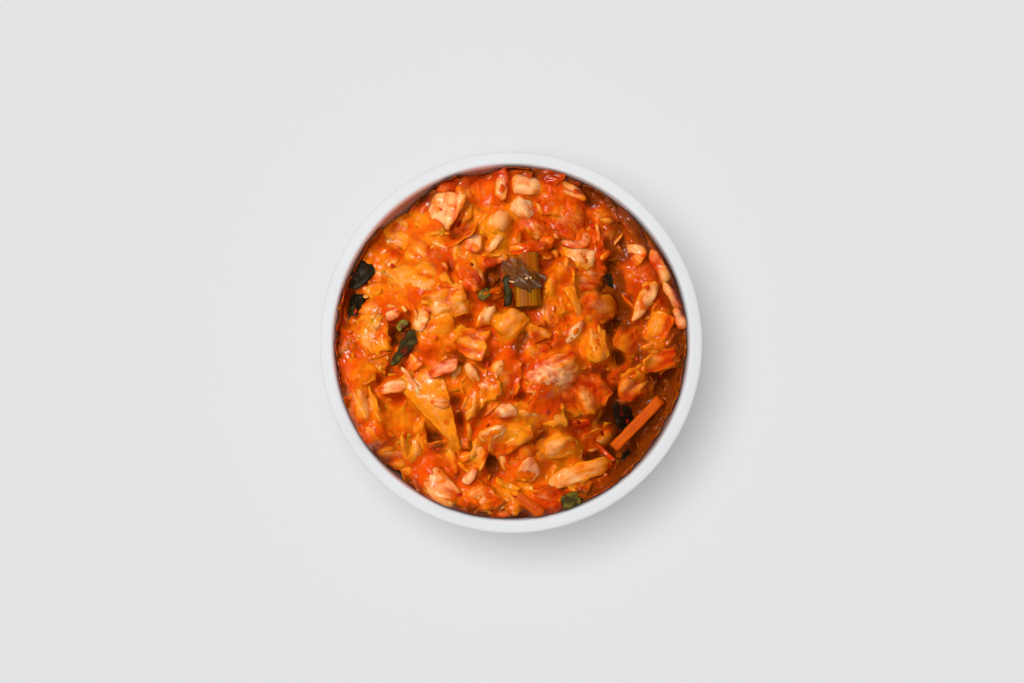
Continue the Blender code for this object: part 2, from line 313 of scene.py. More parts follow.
class HeapMap:
    """The heap as a height for each cell. The crown is its finished top, and top what lies there so far."""

    def __init__(self, node, rng):
        self.crown = self.banked(self.measured(node))
        places = np.arange(CELLS) * CELL
        self.crown += LUMP_HEIGHT * waves(rng, *np.meshgrid(places, places), LUMP_LENGTH)
        self.skin = self.crown.copy()
        x, y = np.meshgrid(places - HALF_SPAN, places - HALF_SPAN)
        for (middle_x, middle_y), reach, depth in DIPS:
            away = np.hypot(x - middle_x * MM, y - middle_y * MM) / (reach * MM)
            self.crown -= depth * MM * np.exp(-away ** 2)
        self.top = self.crown - BED_DEPTH
        self.shaded = self.skin + DIP_SHADE * (self.skin - self.crown)

    @staticmethod
    def measured(node):
        """The node's top at each cell. Cells beyond its edge take the height at its edge."""
        mesh = node.data
        corners = [tuple(v.co) for v in mesh.vertices]
        faces = [tuple(p.vertices) for p in mesh.polygons]
        tree = BVHTree.FromPolygons(corners, faces)
        heights = np.zeros((CELLS, CELLS))
        down = Vector((0, 0, -1))
        for row in range(CELLS):
            for column in range(CELLS):
                x = column * CELL - HALF_SPAN
                y = row * CELL - HALF_SPAN
                distance = max(math.hypot(x, y), CELL)
                reach = min(distance, FOOD_RADIUS)
                hit = None
                while hit is None:
                    pull = reach / distance
                    hit = tree.ray_cast(Vector((x * pull, y * pull, 0.2)), down)[0]
                    reach -= CELL
                heights[row, column] = hit.z
        return heights

    @staticmethod
    def banked(heights):
        """Heights with the heap's edge banked up against the wall, but less in hollows and on the right."""
        places = np.arange(CELLS) * CELL - HALF_SPAN
        x, y = np.meshgrid(places, places)
        near_wall = ramped(np.hypot(x, y), BANK_START, BANK_RUN)
        full = ramped(heights, BANK_LEVEL, BANK_RISE)
        left = np.maximum(ramped(BANK_EDGE - x, 0, BANK_FALL), LEAST_BANK)
        return heights + BANK * near_wall * full * left

    @staticmethod
    def cells_at(x, y):
        return (x + HALF_SPAN) / CELL, (y + HALF_SPAN) / CELL

    def read(self, layer, x, y, corner=(0, 0)):
        """The layer's heights at places, between the cells' middles. corner is the layer's first cell."""
        column, row = self.cells_at(x, y)
        column = np.clip(column - corner[0], 0, layer.shape[1] - 1.001)
        row = np.clip(row - corner[1], 0, layer.shape[0] - 1.001)
        left, low = column.astype(int), row.astype(int)
        across, up = column - left, row - low
        bottom = layer[low, left] * (1 - across) + layer[low, left + 1] * across
        above = layer[low + 1, left] * (1 - across) + layer[low + 1, left + 1] * across
        return bottom * (1 - up) + above * up

    def cover(self, x, y, spread):
        """A smooth cover over what lies at these places, which leans on its peaks."""
        margin = int(3 * spread / CELL) + 2
        column, row = self.cells_at(x, y)
        left = max(0, int(column.min()) - margin)
        right = min(CELLS, int(column.max()) + margin + 2)
        low = max(0, int(row.min()) - margin)
        high = min(CELLS, int(row.max()) + margin + 2)
        window = self.top[low:high, left:right]
        lowest = window.min()
        lifted = np.exp((window - lowest) / GIVE)
        smooth = blurred(high - low, spread / CELL) @ lifted @ blurred(right - left, spread / CELL).T
        return self.read(lowest + GIVE * np.log(smooth), x, y, (left, low))

    def shortfall(self, x, y, reach):
        """How far the heap still lies below its crown round this place."""
        column, row = self.cells_at(x, y)
        span = int(reach / CELL)
        rows = slice(max(0, int(row) - span), int(row) + span + 1)
        columns = slice(max(0, int(column) - span), int(column) + span + 1)
        return float((self.crown[rows, columns] - self.top[rows, columns]).mean())

    def sunk(self, points):
        """How much painted shade these points get, from 0 to 1: by their depth, more in hollows, at the wall
        and on the right.
        """
        x, y, z = points.T
        depth = np.maximum((self.read(self.shaded, x, y) - z) / FULL_SHADE_DEPTH, LEAST_DEPTH_SHADE)
        at_wall = ramped(np.hypot(x, y), WALL_SHADE_START, WALL_SHADE_RUN)
        on_right = ramped(x, RIGHT_SHADE_START, RIGHT_SHADE_RUN)
        return np.clip(depth + WALL_SHADE * at_wall + RIGHT_SHADE * on_right, 0, 1)

    def bury(self, points, quads):
        """Raises the heap to the points, to the middles of the faces and to the middles of their sides."""
        corners = points[quads]
        sides = (corners + np.roll(corners, 1, axis=1)) / 2
        samples = np.concatenate([points, corners.mean(1), sides.reshape(-1, 3)])
        column, row = self.cells_at(samples[:, 0], samples[:, 1])
        column = np.clip(np.rint(column).astype(int), 0, CELLS - 1)
        row = np.clip(np.rint(row).astype(int), 0, CELLS - 1)
        np.maximum.at(self.top, (row, column), samples[:, 2])


# ---------------------------------------------------------------- cutting and laying pieces

# Shares of a piece's own heights, in percent: what touches what lies below, and what may rise to its limit.
RESTING = 12
RISING = 80
# How far a piece's size widens the cover that it lies on, and how far it climbs where the wall stops it.
COVER_GROWTH = 0.1
WALL_CLIMB = 0.35

@dataclass
class Cut:
    """How a piece is cut and how it lies, in millimetres. A listed piece joins the batch named by kind."""
    thickness: float
    kind: str = "cabbage_leaves"
    step: float = 0.75
    limp: float = 0.8
    spread: float = 1.5
    roundness: float = 0.3
    plump: float = 5.0
    skew: float = 0.22
    bite: float = 0.7
    bite_length: float = 4.0
    crumple: float = 0.8
    crumple_length: float = 8.0
    pleat: float = 0.5
    ruffle: float = 0.5
    folds: int = 2
    fold_angle: float = 0.5
    dome: float = 0.02
    curl: float = 0.35
    lean: float = 0.15
    roll: float = 0.0
    swell: float = 0.15
    taper: float = 0.0
    above: float = 1.5
    scatter: float = 1.4
    overhang: float = 0.0
    fade: float = 0.25
    tip: float = 0.0
    # How much painted shade is taken off a piece that catches the light.
    less_shade: float = 0.0


def waves(rng, x, y, length, count=6):
    """A smooth random field of about -1 to 1 over places, whose bumps are about this length apart."""
    total = np.zeros_like(x)
    for _ in range(count):
        turn, phase = rng.uniform(0, 2 * np.pi, 2)
        rate = 2 * np.pi / (length * rng.uniform(0.75, 1.6))
        total += np.sin(rate * (x * math.cos(turn) + y * math.sin(turn)) + phase)
    return total / math.sqrt(count)


def evenly_to_edges(steps):
    """Steps from -1 to 1 that are finer near both ends."""
    even = np.linspace(-1, 1, steps + 1)
    return 0.5 * even + 0.5 * np.sin(np.pi * even / 2)


def slab(rng, cut, length, width):
    """A flat closed piece with uneven corners and rounded edges, and its faces, edge and end marks."""
    rows = max(6, int(round(length / cut.step)))
    columns = max(4, int(round(width / cut.step)))
    u, v = np.meshgrid(evenly_to_edges(rows), evenly_to_edges(columns), indexing="ij")
    across = u * np.sqrt(1 - cut.roundness * v ** 2 / 2)
    along = v * np.sqrt(1 - cut.roundness * u ** 2 / 2)
    x = np.zeros_like(u)
    y = np.zeros_like(u)
    for side in (-1, 1):
        for end in (-1, 1):
            share = (1 + side * across) * (1 + end * along) / 4
            narrow = 1 - cut.taper * (side > 0)
            x += share * side * length / 2 * (1 + rng.uniform(-cut.skew, cut.skew) * 0.6)
            y += share * end * width / 2 * narrow * (1 + rng.uniform(-cut.skew, cut.skew))
    rim = np.maximum(np.abs(u), np.abs(v)) ** 5
    bites = [waves(rng, x, y, cut.bite_length) + 0.4 * waves(rng, x, y, 0.4 * cut.bite_length) for _ in "xy"]
    x = x + 0.6 * rim * cut.bite * bites[0]
    y = y + 0.6 * rim * cut.bite * bites[1]
    half = cut.thickness / 2 * np.sqrt((1 - np.abs(u) ** cut.plump) * (1 - np.abs(v) ** cut.plump))
    half = half * (1 + cut.swell * waves(rng, x, y, 3.5))
    inner = (slice(1, -1), slice(1, -1))
    flat = np.concatenate([np.stack([x, y, half], -1).reshape(-1, 3),
                           np.stack([x[inner], y[inner], -half[inner]], -1).reshape(-1, 3)])
    top = np.arange(u.size).reshape(u.shape)
    bottom = top.copy()
    bottom[inner] = u.size + np.arange(x[inner].size).reshape(x[inner].shape)
    quads = np.concatenate([grid_quads(top), grid_quads(bottom)[:, ::-1]])
    near_edge = np.maximum(np.abs(u), np.abs(v)) ** 2.5
    edge = np.concatenate([near_edge.ravel(), near_edge[inner].ravel()])
    ends = np.concatenate([u.ravel(), u[inner].ravel()])
    return flat, quads, edge, ends


def grid_quads(index):
    return np.stack([index[:-1, :-1], index[1:, :-1], index[1:, 1:], index[:-1, 1:]], -1).reshape(-1, 4)


def bent(points, heading, radius):
    """Points bent round an arc of this radius, towards this heading. A negative radius bends them down."""
    c, s = math.cos(heading), math.sin(heading)
    along = points[:, 0] * c + points[:, 1] * s
    aside = points[:, 1] * c - points[:, 0] * s
    reach = radius - points[:, 2]
    moved = reach * np.sin(along / radius)
    height = radius - reach * np.cos(along / radius)
    return np.stack([moved * c - aside * s, moved * s + aside * c, height], -1)


def folded(points, heading, start, angle, radius):
    """Points folded over a crease that lies at start along the heading. Past it they stay straight."""
    c, s = math.cos(heading), math.sin(heading)
    side = math.copysign(1, angle)
    along = points[:, 0] * c + points[:, 1] * s
    aside = points[:, 1] * c - points[:, 0] * s
    lift = points[:, 2] * side
    past = np.maximum(along - start, 0)
    turn = np.clip(past / radius, 0, abs(angle))
    rest = past - radius * turn
    moved = np.minimum(along, start) + radius * np.sin(turn) + rest * np.cos(turn) - lift * np.sin(turn)
    height = (radius * (1 - np.cos(turn)) + rest * np.sin(turn) + lift * np.cos(turn)) * side
    return np.stack([moved * c - aside * s, moved * s + aside * c, height], -1)


def rolled(points, angle):
    """Points turned about the piece's own length."""
    c, s = math.cos(angle), math.sin(angle)
    x, y, z = points.T
    return np.stack([x, y * c - z * s, y * s + z * c], -1)


def levelled(points):
    """Points with their mean slope taken out, about their own middle."""
    sides = np.stack([np.ones(len(points)), points[:, 0], points[:, 1]], -1)
    level = points.copy()
    level[:, 2] -= sides @ np.linalg.lstsq(sides, points[:, 2], rcond=None)[0]
    level[:, :2] -= level[:, :2].mean(0)
    return level


def shaped(rng, cut, length, width):
    """One piece of this cut, folded, bent and crumpled, in millimetres about its own middle."""
    flat, quads, edge, ends = slab(rng, cut, length, width)
    points = flat.copy()
    reach = min(length, width)
    for _ in range(cut.folds):
        points = folded(points, rng.uniform(0, 2 * np.pi), rng.uniform(-0.05, 0.35) * reach,
                        rng.normal(0, cut.fold_angle), rng.uniform(0.7, 1.6) + cut.thickness / 2)
    x, y = points[:, 0].copy(), points[:, 1].copy()
    lumps = np.abs(waves(rng, cut.pleat * x, y, cut.crumple_length))
    lumps += 0.4 * np.abs(waves(rng, cut.pleat * x, y, 0.5 * cut.crumple_length))
    points[:, 2] += cut.crumple * lumps - cut.dome * (x ** 2 + y ** 2)
    points[:, 2] += cut.ruffle * edge ** 2 * waves(rng, x, y, 4.0)
    if cut.curl:
        tightness = cut.curl * rng.uniform(0.4, 1.4) * rng.choice([-1, 1], p=[0.7, 0.3])
        points = bent(points, rng.uniform(0, np.pi), max(length, width) / (2 * tightness))
    if cut.roll:
        points = rolled(points, cut.roll)
    crest = lumps / (1.2 + lumps)
    return flat, levelled(points), quads, edge, ends, crest


def lay(heap, batch, rng, cut, place, size, heading, soaked, tone):
    """Cuts one piece and lays it on the heap at a place in millimetres, turned to a heading in degrees."""
    flat, points, quads, edge, ends, crest = shaped(rng, cut, *size)
    turn = math.radians(heading)
    c, s = math.cos(turn), math.sin(turn)
    x, y, z = points.T * MM
    z = z - np.percentile(z, RESTING)
    world_x = place[0] * MM + c * x - s * y
    world_y = place[1] * MM + s * x + c * y
    spread = (cut.spread + COVER_GROWTH * max(size)) * MM
    cover = heap.cover(world_x, world_y, spread)
    sides = np.stack([np.ones_like(x), x, y], -1)
    plane = sides @ np.linalg.lstsq(sides, cover, rcond=None)[0]
    lean = rng.normal(0, cut.lean, 2)
    world_z = cut.limp * cover + (1 - cut.limp) * plane + z + lean[0] * x + lean[1] * y
    above = cut.above + cut.scatter * rng.uniform(-1, 1)
    excess = np.percentile(world_z - heap.read(heap.crown, world_x, world_y), RISING) - above * MM
    world_z -= max(0.0, excess)
    radius = np.hypot(world_x, world_y)
    limit = inside_radius(world_z) - WALL_GAP + cut.overhang * MM
    pull = np.minimum(1, limit / np.maximum(radius, CELL))
    world_z = world_z + WALL_CLIMB * np.maximum(radius - limit, 0)
    world = np.stack([world_x * pull, world_y * pull, world_z], -1)
    fade = cut.tip + cut.fade * rng.uniform(-1, 1)
    marks = {"grain": flat + rng.uniform(-200, 200, 3),
             "soaked": np.clip(soaked + fade * ends, 0, 1.2),
             "tone": np.clip(tone + rng.normal(0, 0.05), 0, 1),
             "edge": edge,
             "crest": crest,
             "sunk": np.maximum(heap.sunk(world) - cut.less_shade, 0)}
    batch.add(world, quads, marks)
    heap.bury(world, quads)


LEAF = Cut(thickness=1.1, step=0.6, plump=2.4, crumple_length=6.5, crumple=0.95, skew=0.42, roundness=0.5,
           bite=1.0)
SMOOTH_LEAF = replace(LEAF, crumple=0.3, ruffle=0.2, folds=1, fold_angle=0.3, dome=0.012, curl=0.3, bite=0.5,
                      fade=0.15)
LOOSE_LEAF = replace(LEAF, crumple=1.1, ruffle=0.8, folds=3, fold_angle=0.7, curl=0.6, lean=0.25)
CURLED_LEAF = replace(LEAF, folds=2, curl=1.3, lean=0.3, limp=0.5)
PRESSED_LEAF = replace(LEAF, crumple=0.5, folds=0, curl=0.0, dome=0.0, step=0.8)
RIB = Cut(thickness=2.8, kind="cabbage_ribs", limp=0.35, spread=2.2, roundness=0.8, plump=2.6, skew=0.3,
          bite=0.3, crumple=0.45, crumple_length=6.0, ruffle=0.1, folds=1, fold_angle=0.25, dome=0.02,
          curl=0.35, swell=0.2, lean=0.2, above=1.8)
THIN_RIB = replace(RIB, thickness=1.9, limp=0.4, crumple=0.6, roundness=0.75, skew=0.35, bite=0.35)
LOBE = replace(RIB, thickness=3.2, roundness=0.75, plump=2.2, curl=0.45, skew=0.45, bite=0.6,
               bite_length=3.0, crumple=0.9, crumple_length=4.5, dome=0.04, above=2.4)
STRIP = replace(RIB, thickness=1.6, roundness=0.85, curl=0.6, limp=0.6, step=0.55, crumple=0.4)
CLEAR_STRIP = replace(STRIP, overhang=1.0, above=3.6, scatter=0.0, less_shade=0.65, curl=0.25)
SHRED = Cut(thickness=0.9, step=0.6, limp=0.75, roundness=0.7, skew=0.3, bite=0.25, crumple=0.3,
            crumple_length=5.0, ruffle=0.2, fold_angle=0.5, curl=0.8, lean=0.2, dome=0.0)
STRING = replace(SHRED, thickness=0.7, step=0.45)
GREEN = replace(LEAF, kind="green_leaves", thickness=0.5, crumple=0.5, crumple_length=4.0, curl=0.4,
                bite=0.4)
# Nearly black greens at the left wall and in the gaps by the carrot: partly real greens, partly dark sheets
# as painted shade.
WALL_GREEN_AND_SHADE = replace(GREEN, curl=0.2, above=2.5, scatter=0.0)
CARROT = Cut(thickness=2.6, kind="carrot_bits", step=0.6, limp=0.1, spread=2.0, roundness=0.15, plump=9.0,
             skew=0.12, bite=0.15, crumple=0.05, ruffle=0.0, folds=0, dome=0.0, curl=0.15, swell=0.05,
             lean=0.15)
CRUMB = Cut(thickness=1.3, scatter=0.5, step=0.5, limp=0.5, spread=0.8, roundness=0.9, plump=3.0, skew=0.35,
            bite=0.3, bite_length=1.5, crumple=0.1, ruffle=0.0, folds=0, dome=0.0, curl=0.2, lean=0.3,
            above=1.6)
# Tiny pale bits laid on the onion's collar as painted highlights.
GLINT = replace(CRUMB, kind="ginger_crumbs_and_glints", thickness=0.5, spread=0.4, limp=0.9, above=7.0, scatter=0.0)
FLAKE = Cut(thickness=0.22, kind="chilli_flakes", scatter=0.5, step=0.35, limp=0.9, spread=0.5,
            roundness=0.6, plump=4.0, skew=0.4, bite=0.2, bite_length=1.2, crumple=0.08, ruffle=0.1,
            folds=1, dome=0.0, curl=0.5, lean=0.15, above=1.8)
SEED_GRAIN = Cut(thickness=0.45, scatter=0.5, step=0.4, limp=0.3, spread=0.6, roundness=1.0, plump=2.5,
                 skew=0.1, bite=0.05, crumple=0.0, ruffle=0.0, folds=0, dome=0.0, curl=0.0, lean=0.3,
                 above=1.8)
FILM = replace(GREEN, kind="onion_film", thickness=0.25, crumple=0.35, crumple_length=3.0, limp=1.0,
               spread=0.5, curl=0.1, folds=0, scatter=0.0, above=7.0, step=0.4, ruffle=0.1, roundness=0.4,
               plump=2.2, skew=0.5, bite=0.8)

# Where the wall's glaze shows inside: turn and half width, in degrees.
BARE_GLAZE = ((129, 11), (100, 7), (-128, 7))

# Pieces laid one by one, from the lowest to the highest: cut, place, (length, width), heading in degrees, how
# far it is soaked with sauce, from pale to orange, and its tone, from yellow to red.
LAID = [
    # the outer ring, back and right
    (RIB, (-7.0, 43.2), (11, 4.2), 95, 0.65, 0.45),
    (RIB, (-2.6, 45.4), (9.5, 4.0), 84, 0.45, 0.3),
    (RIB, (4.7, 45.6), (9.5, 6.6), -5, 0.22, 0.2),
    (STRIP, (15.5, 44.8), (14, 3.8), -28, 0.5, 0.25),
    (LEAF, (12.0, 40.5), (11, 7.0), -30, 0.9, 0.55),
    (LOOSE_LEAF, (24.5, 38.5), (10, 7.0), -50, 0.85, 0.6),
    (STRIP, (34.5, 34.0), (15, 4.2), -52, 0.5, 0.45),
    (STRIP, (29.5, 38.8), (9, 2.6), -60, 0.5, 0.4),
    (SMOOTH_LEAF, (39.0, 26.5), (13, 7.5), -60, 1.0, 0.6),
    (SMOOTH_LEAF, (37.0, 19.0), (12, 9.0), 0, 0.95, 0.5),
    (SMOOTH_LEAF, (44.5, 6.0), (13, 8.5), 70, 1.0, 0.5),
    (SMOOTH_LEAF, (36.5, 1.5), (13, 9.5), 60, 0.95, 0.55),
    (LEAF, (42.5, -4.5), (10, 8.0), 20, 0.9, 0.45),
    (LEAF, (34.5, -9.5), (13, 9.0), 35, 0.9, 0.55),
    (LOOSE_LEAF, (37.5, -14.5), (10, 7.0), -70, 0.9, 0.5),
    (THIN_RIB, (31.5, -17.5), (8, 3.6), 30, 0.6, 0.4),
    # the outer ring, front and left
    (CARROT, (38.4, -28.6), (8.5, 3.6), 60, 0.7, 0.35),
    (LEAF, (31.0, -33.0), (7, 5.0), 60, 0.85, 0.25),
    (LEAF, (26.0, -42.0), (8, 4.5), 35, 0.9, 0.5),
    (CARROT, (4.5, -46.2), (12, 3.2), -40, 0.8, 0.3),
    (LEAF, (-2.5, -46.5), (9, 6.0), -20, 0.85, 0.45),
    (LOOSE_LEAF, (11.0, -45.0), (9, 6.0), 10, 0.9, 0.4),
    (LEAF, (-10.0, -45.0), (9, 7.0), 40, 0.85, 0.4),
    (LEAF, (-32.0, -35.0), (12, 5.0), -50, 0.9, 0.3),
    (LEAF, (-38.5, -27.0), (13, 6.0), -55, 0.9, 0.35),
    (LOOSE_LEAF, (-42.0, -18.0), (11, 7.0), -70, 0.75, 0.35),
    (LEAF, (-43.0, -8.0), (10, 7.0), -80, 0.7, 0.45),
    (LEAF, (-40.0, 2.0), (13, 7.5), -75, 0.85, 0.3),
    (LEAF, (-37.0, 9.0), (10, 9.0), 30, 0.6, 0.35),
    (replace(LEAF, taper=0.8), (-41.5, 15.2), (10, 6.0), 175, 0.9, 0.2),
    (LOOSE_LEAF, (-37.5, 23.0), (9.5, 8.5), 40, 0.75, 0.5),
    (LEAF, (-34.0, 28.0), (9, 6.0), 20, 0.9, 0.25),
    (SMOOTH_LEAF, (-27.5, 37.5), (9, 4.0), 70, 1.0, 0.4),
    (LEAF, (-13.5, 41.5), (9, 6.0), 100, 0.95, 0.5),
    # middle ring
    (LEAF, (-30.0, 32.0), (17, 8.0), -30, 0.85, 0.15),
    (replace(LEAF, scatter=0.0, above=2.8), (-13.6, 38.0), (10, 4.5), 68, 0.9, 0.3),
    (LEAF, (-27.0, 16.5), (17, 12.0), 20, 0.72, 0.15),
    (LEAF, (-22.0, 26.5), (13, 10.0), -20, 0.8, 0.3),
    (LOOSE_LEAF, (-12.0, 28.0), (11, 8.0), 60, 0.75, 0.45),
    (LEAF, (-11.0, 19.0), (11, 8.0), -60, 0.75, 0.4),
    (LEAF, (-19.0, 10.5), (13, 9.0), 10, 0.6, 0.3),
    (THIN_RIB, (-35.0, 8.0), (7, 4.5), 20, 0.35, 0.3),
    (THIN_RIB, (-25.5, 5.6), (7, 4.6), 60, 0.2, 0.0),
    (LOBE, (-7.0, 6.5), (8, 5.5), 60, 0.6, 0.2),
    (THIN_RIB, (24.2, 6.6), (6, 4.6), 30, 0.35, 0.4),
    (THIN_RIB, (-43.0, -19.5), (8, 3.0), 70, 0.35, 0.2),
    (THIN_RIB, (-10.5, 29.0), (8, 5.0), 70, 0.45, 0.5),
    (LOBE, (-3.2, 34.5), (8, 6.0), 60, 0.5, 0.15),
    (STRIP, (-4.0, 29.0), (10, 2.6), 50, 0.4, 0.3),
    (STRIP, (2.0, 30.0), (8, 2.4), 88, 0.75, 0.1),
    (LOBE, (7.3, 33.0), (9, 6.2), -55, 0.7, 0.2),
    (LEAF, (17.5, 35.0), (11, 8.0), -30, 0.9, 0.65),
    (THIN_RIB, (18.5, 30.5), (10, 7.0), -25, 0.5, 0.5),
    (LOBE, (20.0, 25.6), (11.5, 7.5), 5, 0.5, -0.1),
    (replace(STRIP, above=3.0), (43.4, 21.0), (12, 4.0), -62, 0.3, 0.4),
    (replace(STRIP, overhang=1.0, above=3.0), (47.4, 12.0), (9.5, 2.6), -60, 0.2, 0.35),
    (replace(STRIP, overhang=1.0, above=3.0), (49.0, 7.5), (5.5, 2.6), -70, 0.35, 0.5),
    (LEAF, (22.0, 18.0), (10, 9.0), -20, 0.7, 0.5),
    (LOOSE_LEAF, (14.5, 16.0), (16, 8.5), -75, 0.85, 0.35),
    (LEAF, (25.0, 9.5), (10, 7.0), 0, 0.75, 0.45),
    (replace(SMOOTH_LEAF, taper=0.7), (18.6, 10.4), (10, 3.2), -72, 0.7, 0.0),
    (LEAF, (8.5, 4.8), (13, 10.0), -60, 0.75, 0.45),
    (LOBE, (0.3, 4.8), (9.5, 7.5), 40, 0.75, 0.1),
    (STRIP, (17.8, 2.4), (8, 3.6), 40, 0.3, 0.4),
    (LEAF, (22.0, -13.0), (14, 9.0), -60, 0.85, 0.5),
    (replace(LOBE, thickness=4.2, crumple=1.1, crumple_length=5.0, step=0.5, tip=0.4, scatter=0.0,
             above=2.6, less_shade=0.1), (11.8, -10.5), (17, 12.0), 20, 0.34, 0.32),
    (LEAF, (-2.5, -11.0), (13, 10.0), 70, 0.85, 0.45),
    (SMOOTH_LEAF, (-21.6, 2.0), (11, 8.5), 20, 1.1, 0.35),
    (LOOSE_LEAF, (-11.5, -1.0), (9, 7.5), -20, 0.75, 0.55),
    (STRIP, (-33.0, -13.0), (10, 4.0), 10, 0.45, 0.3),
    (LEAF, (-33.0, -22.0), (14, 10.0), -50, 0.85, 0.15),
    (LOOSE_LEAF, (-26.5, -31.0), (11, 7.5), -60, 0.8, 0.15),
    (replace(SMOOTH_LEAF, taper=0.95, skew=0.04, curl=0.12, scatter=0.0, above=2.1, roundness=0.1,
             bite=0.2, folds=0), (-21.0, -19.5), (24, 13.5), -62, 0.85, 0.12),
    (LEAF, (-9.5, -13.0), (11, 8.0), -50, 0.8, 0.2),
    (STRIP, (-10.9, -9.6), (7, 2.8), -62, 0.3, 0.0),
    (RIB, (-1.4, -20.3), (5.8, 5.0), 30, 0.2, 0.4),
    (LEAF, (8.0, -20.5), (14, 9.0), 5, 0.85, 0.2),
    (LOOSE_LEAF, (-8.5, -31.0), (9, 6.0), 60, 0.8, 0.2),
    (LOOSE_LEAF, (-1.0, -34.5), (9, 5.0), -60, 0.8, 0.2),
    (LEAF, (0.0, -28.5), (12, 6.0), 20, 0.85, 0.25),
    (STRIP, (-5.0, -26.4), (10, 3.6), 20, 0.3, 0.15),
    (LEAF, (26.0, -28.5), (10, 8.0), 20, 0.75, 0.3),
    (THIN_RIB, (5.0, -37.6), (7.5, 6.0), 55, 0.3, 0.3),
    (STRIP, (-11.6, -38.6), (6, 3.0), 60, 0.25, 0.4),
]

# A laid leaf spreads to these shares of its length and width. Ribs up to PALE soaked are laid after the
# random pieces.
LEAF_SPREAD = (1.12, 1.18)
PALE = 0.5

# Large pieces that lie in the sauce, but that no other piece covers.
UPPERMOST = [
    (replace(LOBE, thickness=3.2, scatter=0.0), (4.3, 38.2), (10, 7.2), -45, 0.15, 0.2),
    (replace(THIN_RIB, thickness=2.2, scatter=0.0, less_shade=0.22), (34.4, 26.0), (9.5, 7.0), -32, 0.35, 0.2),
    (replace(THIN_RIB, taper=0.5, scatter=0.0, less_shade=0.45, above=2.4),
     (38.6, 12.0), (14, 6.4), 245, 0.4, 0.05),
    (replace(LOBE, taper=0.3, thickness=2.8, scatter=0.0), (24.6, -0.4), (12.5, 8.5), 85, 0.8, 0.0),
    (replace(THIN_RIB, thickness=2.0, scatter=0.0), (14.5, -30.6), (12, 9.0), 10, 0.7, -0.1),
    (replace(THIN_RIB, curl=0.5, scatter=0.0), (-21.0, -41.0), (14, 9.0), -42, 0.38, 0.1),
]

# Pieces that lie on the sauce.
ON_TOP = [
    (replace(THIN_RIB, taper=0.7, curl=0.12, tip=0.3, scatter=0.0, above=2.0, bite=0.4, folds=0,
             roundness=0.5), (-20.2, 36.6), (15.5, 12.5), -97, 0.2, 0.1),
    (replace(RIB, taper=0.15, scatter=0.0, above=2.0, thickness=2.4, bite=0.5),
     (19.9, -37.8), (21.5, 7.0), 17, 0.5, 0.05),
    (replace(STRIP, thickness=0.7, above=4.0, scatter=0.0, taper=0.5),
     (-28.0, -12.3), (12, 1.8), -58, 0.05, 0.0),
    (replace(THIN_RIB, above=3.0, scatter=0.0), (-19.0, -7.9), (9, 3.9), 25, 0.3, 0.35),
    (replace(STRIP, above=3.4, scatter=0.0, curl=0.2), (-20.0, -17.7), (5.5, 3.2), -5, 0.3, 0.2),
    (replace(GREEN, taper=0.75, folds=0, curl=0.15, scatter=0.0, above=2.6),
     (-30.8, -2.6), (11.5, 6.6), 231, 0.4, 0.78),
    (GREEN, (-31.5, 4.4), (4, 2.6), 40, 0.5, 0.3),
    (GREEN, (28.9, 18.0), (4.5, 3.4), -60, 0.2, 0.9),
    (WALL_GREEN_AND_SHADE, (-46.5, 11.0), (11, 6.0), 75, 0.2, 0.9),
    (WALL_GREEN_AND_SHADE, (-46.6, 6.5), (10, 5.0), 100, 0.2, 0.8),
    (WALL_GREEN_AND_SHADE, (-44.0, 19.5), (10, 7.0), 40, 0.1, 1.0),
    (WALL_GREEN_AND_SHADE, (-45.5, 14.5), (7, 5), 80, 0.1, 1.0),
    (replace(FLAKE, above=2.0), (-48.0, 6.0), (2.4, 1.6), 30, 0.5, 0.3),
    (replace(FLAKE, above=2.0), (-45.5, 9.0), (2.0, 1.4), 80, 0.5, 0.3),
    (GREEN, (17.2, -45.8), (5.5, 4.0), 20, 0.3, 0.5),
    (GREEN, (-11.8, 37.2), (4, 2.6), 60, 0.2, 0.7),
    (GREEN, (-27.2, 24.4), (3.5, 1.8), 30, 0.3, 0.5),
    (WALL_GREEN_AND_SHADE, (33.2, -21.5), (9, 6.0), -60, 0.1, 1.0),
    (WALL_GREEN_AND_SHADE, (35.5, -32.0), (8, 4.5), 60, 0.1, 1.0),
    (GREEN, (-7.5, 12.8), (3.5, 2.2), 30, 0.4, 0.2),
    (replace(CARROT, thickness=3.0), (-4.1, 13.6), (4.2, 3.8), 20, 0.5, 0.1),
    (STRIP, (43.0, -24.4), (4.5, 2.6), 40, 0.1, 0.3),
    (CLEAR_STRIP, (43.0, 21.0), (14, 3.8), -62, 0.6, 0.45),
    (CLEAR_STRIP, (46.6, 12.5), (11, 3.0), -58, 0.35, 0.35),
    (CLEAR_STRIP, (48.6, 6.5), (7, 3.0), -72, 0.35, 0.5),
    (replace(SMOOTH_LEAF, above=2.4, scatter=0.0, less_shade=0.42), (42.5, 4.0), (11, 7.5), 70, 0.9, 0.45),
    (replace(SMOOTH_LEAF, above=2.4, scatter=0.0, less_shade=0.36), (43.0, -5.5), (10, 7.0), 15, 0.9, 0.5),
    (replace(LEAF, above=2.4, scatter=0.0, less_shade=0.36), (35.5, -11.5), (12, 7.5), 35, 0.85, 0.45),
]

# Pieces that lie on the spring onion.
ON_THE_ONION = [
    (replace(FILM, kind="cabbage_leaves", thickness=0.6), (4.6, 26.6), (10.0, 4.6), 5, 1.0, 0.75),
    # Onion skin over the stalk's upper left, partly a dark sheet laid there as painted shade.
    (FILM, (2.9, 18.9), (11.0, 6.6), -38, 0.0, 0.2),
    (replace(GREEN, roll=0.5, limp=0.6, spread=0.8, above=4.0, scatter=0.0, curl=0.1, folds=1),
     (-1.0, 14.2), (8.5, 2.4), 94, 0.2, 0.75),
    # Pale bits as painted highlights on the collar's edge.
    (GLINT, (4.5, 17.6), (1.1, 0.8), 10, 0.1, 0.2),
    (GLINT, (5.7, 17.7), (0.8, 0.7), 60, 0.1, 0.2),
    (GLINT, (0.3, 16.7), (1.6, 0.6), -10, 0.0, 0.2),
]

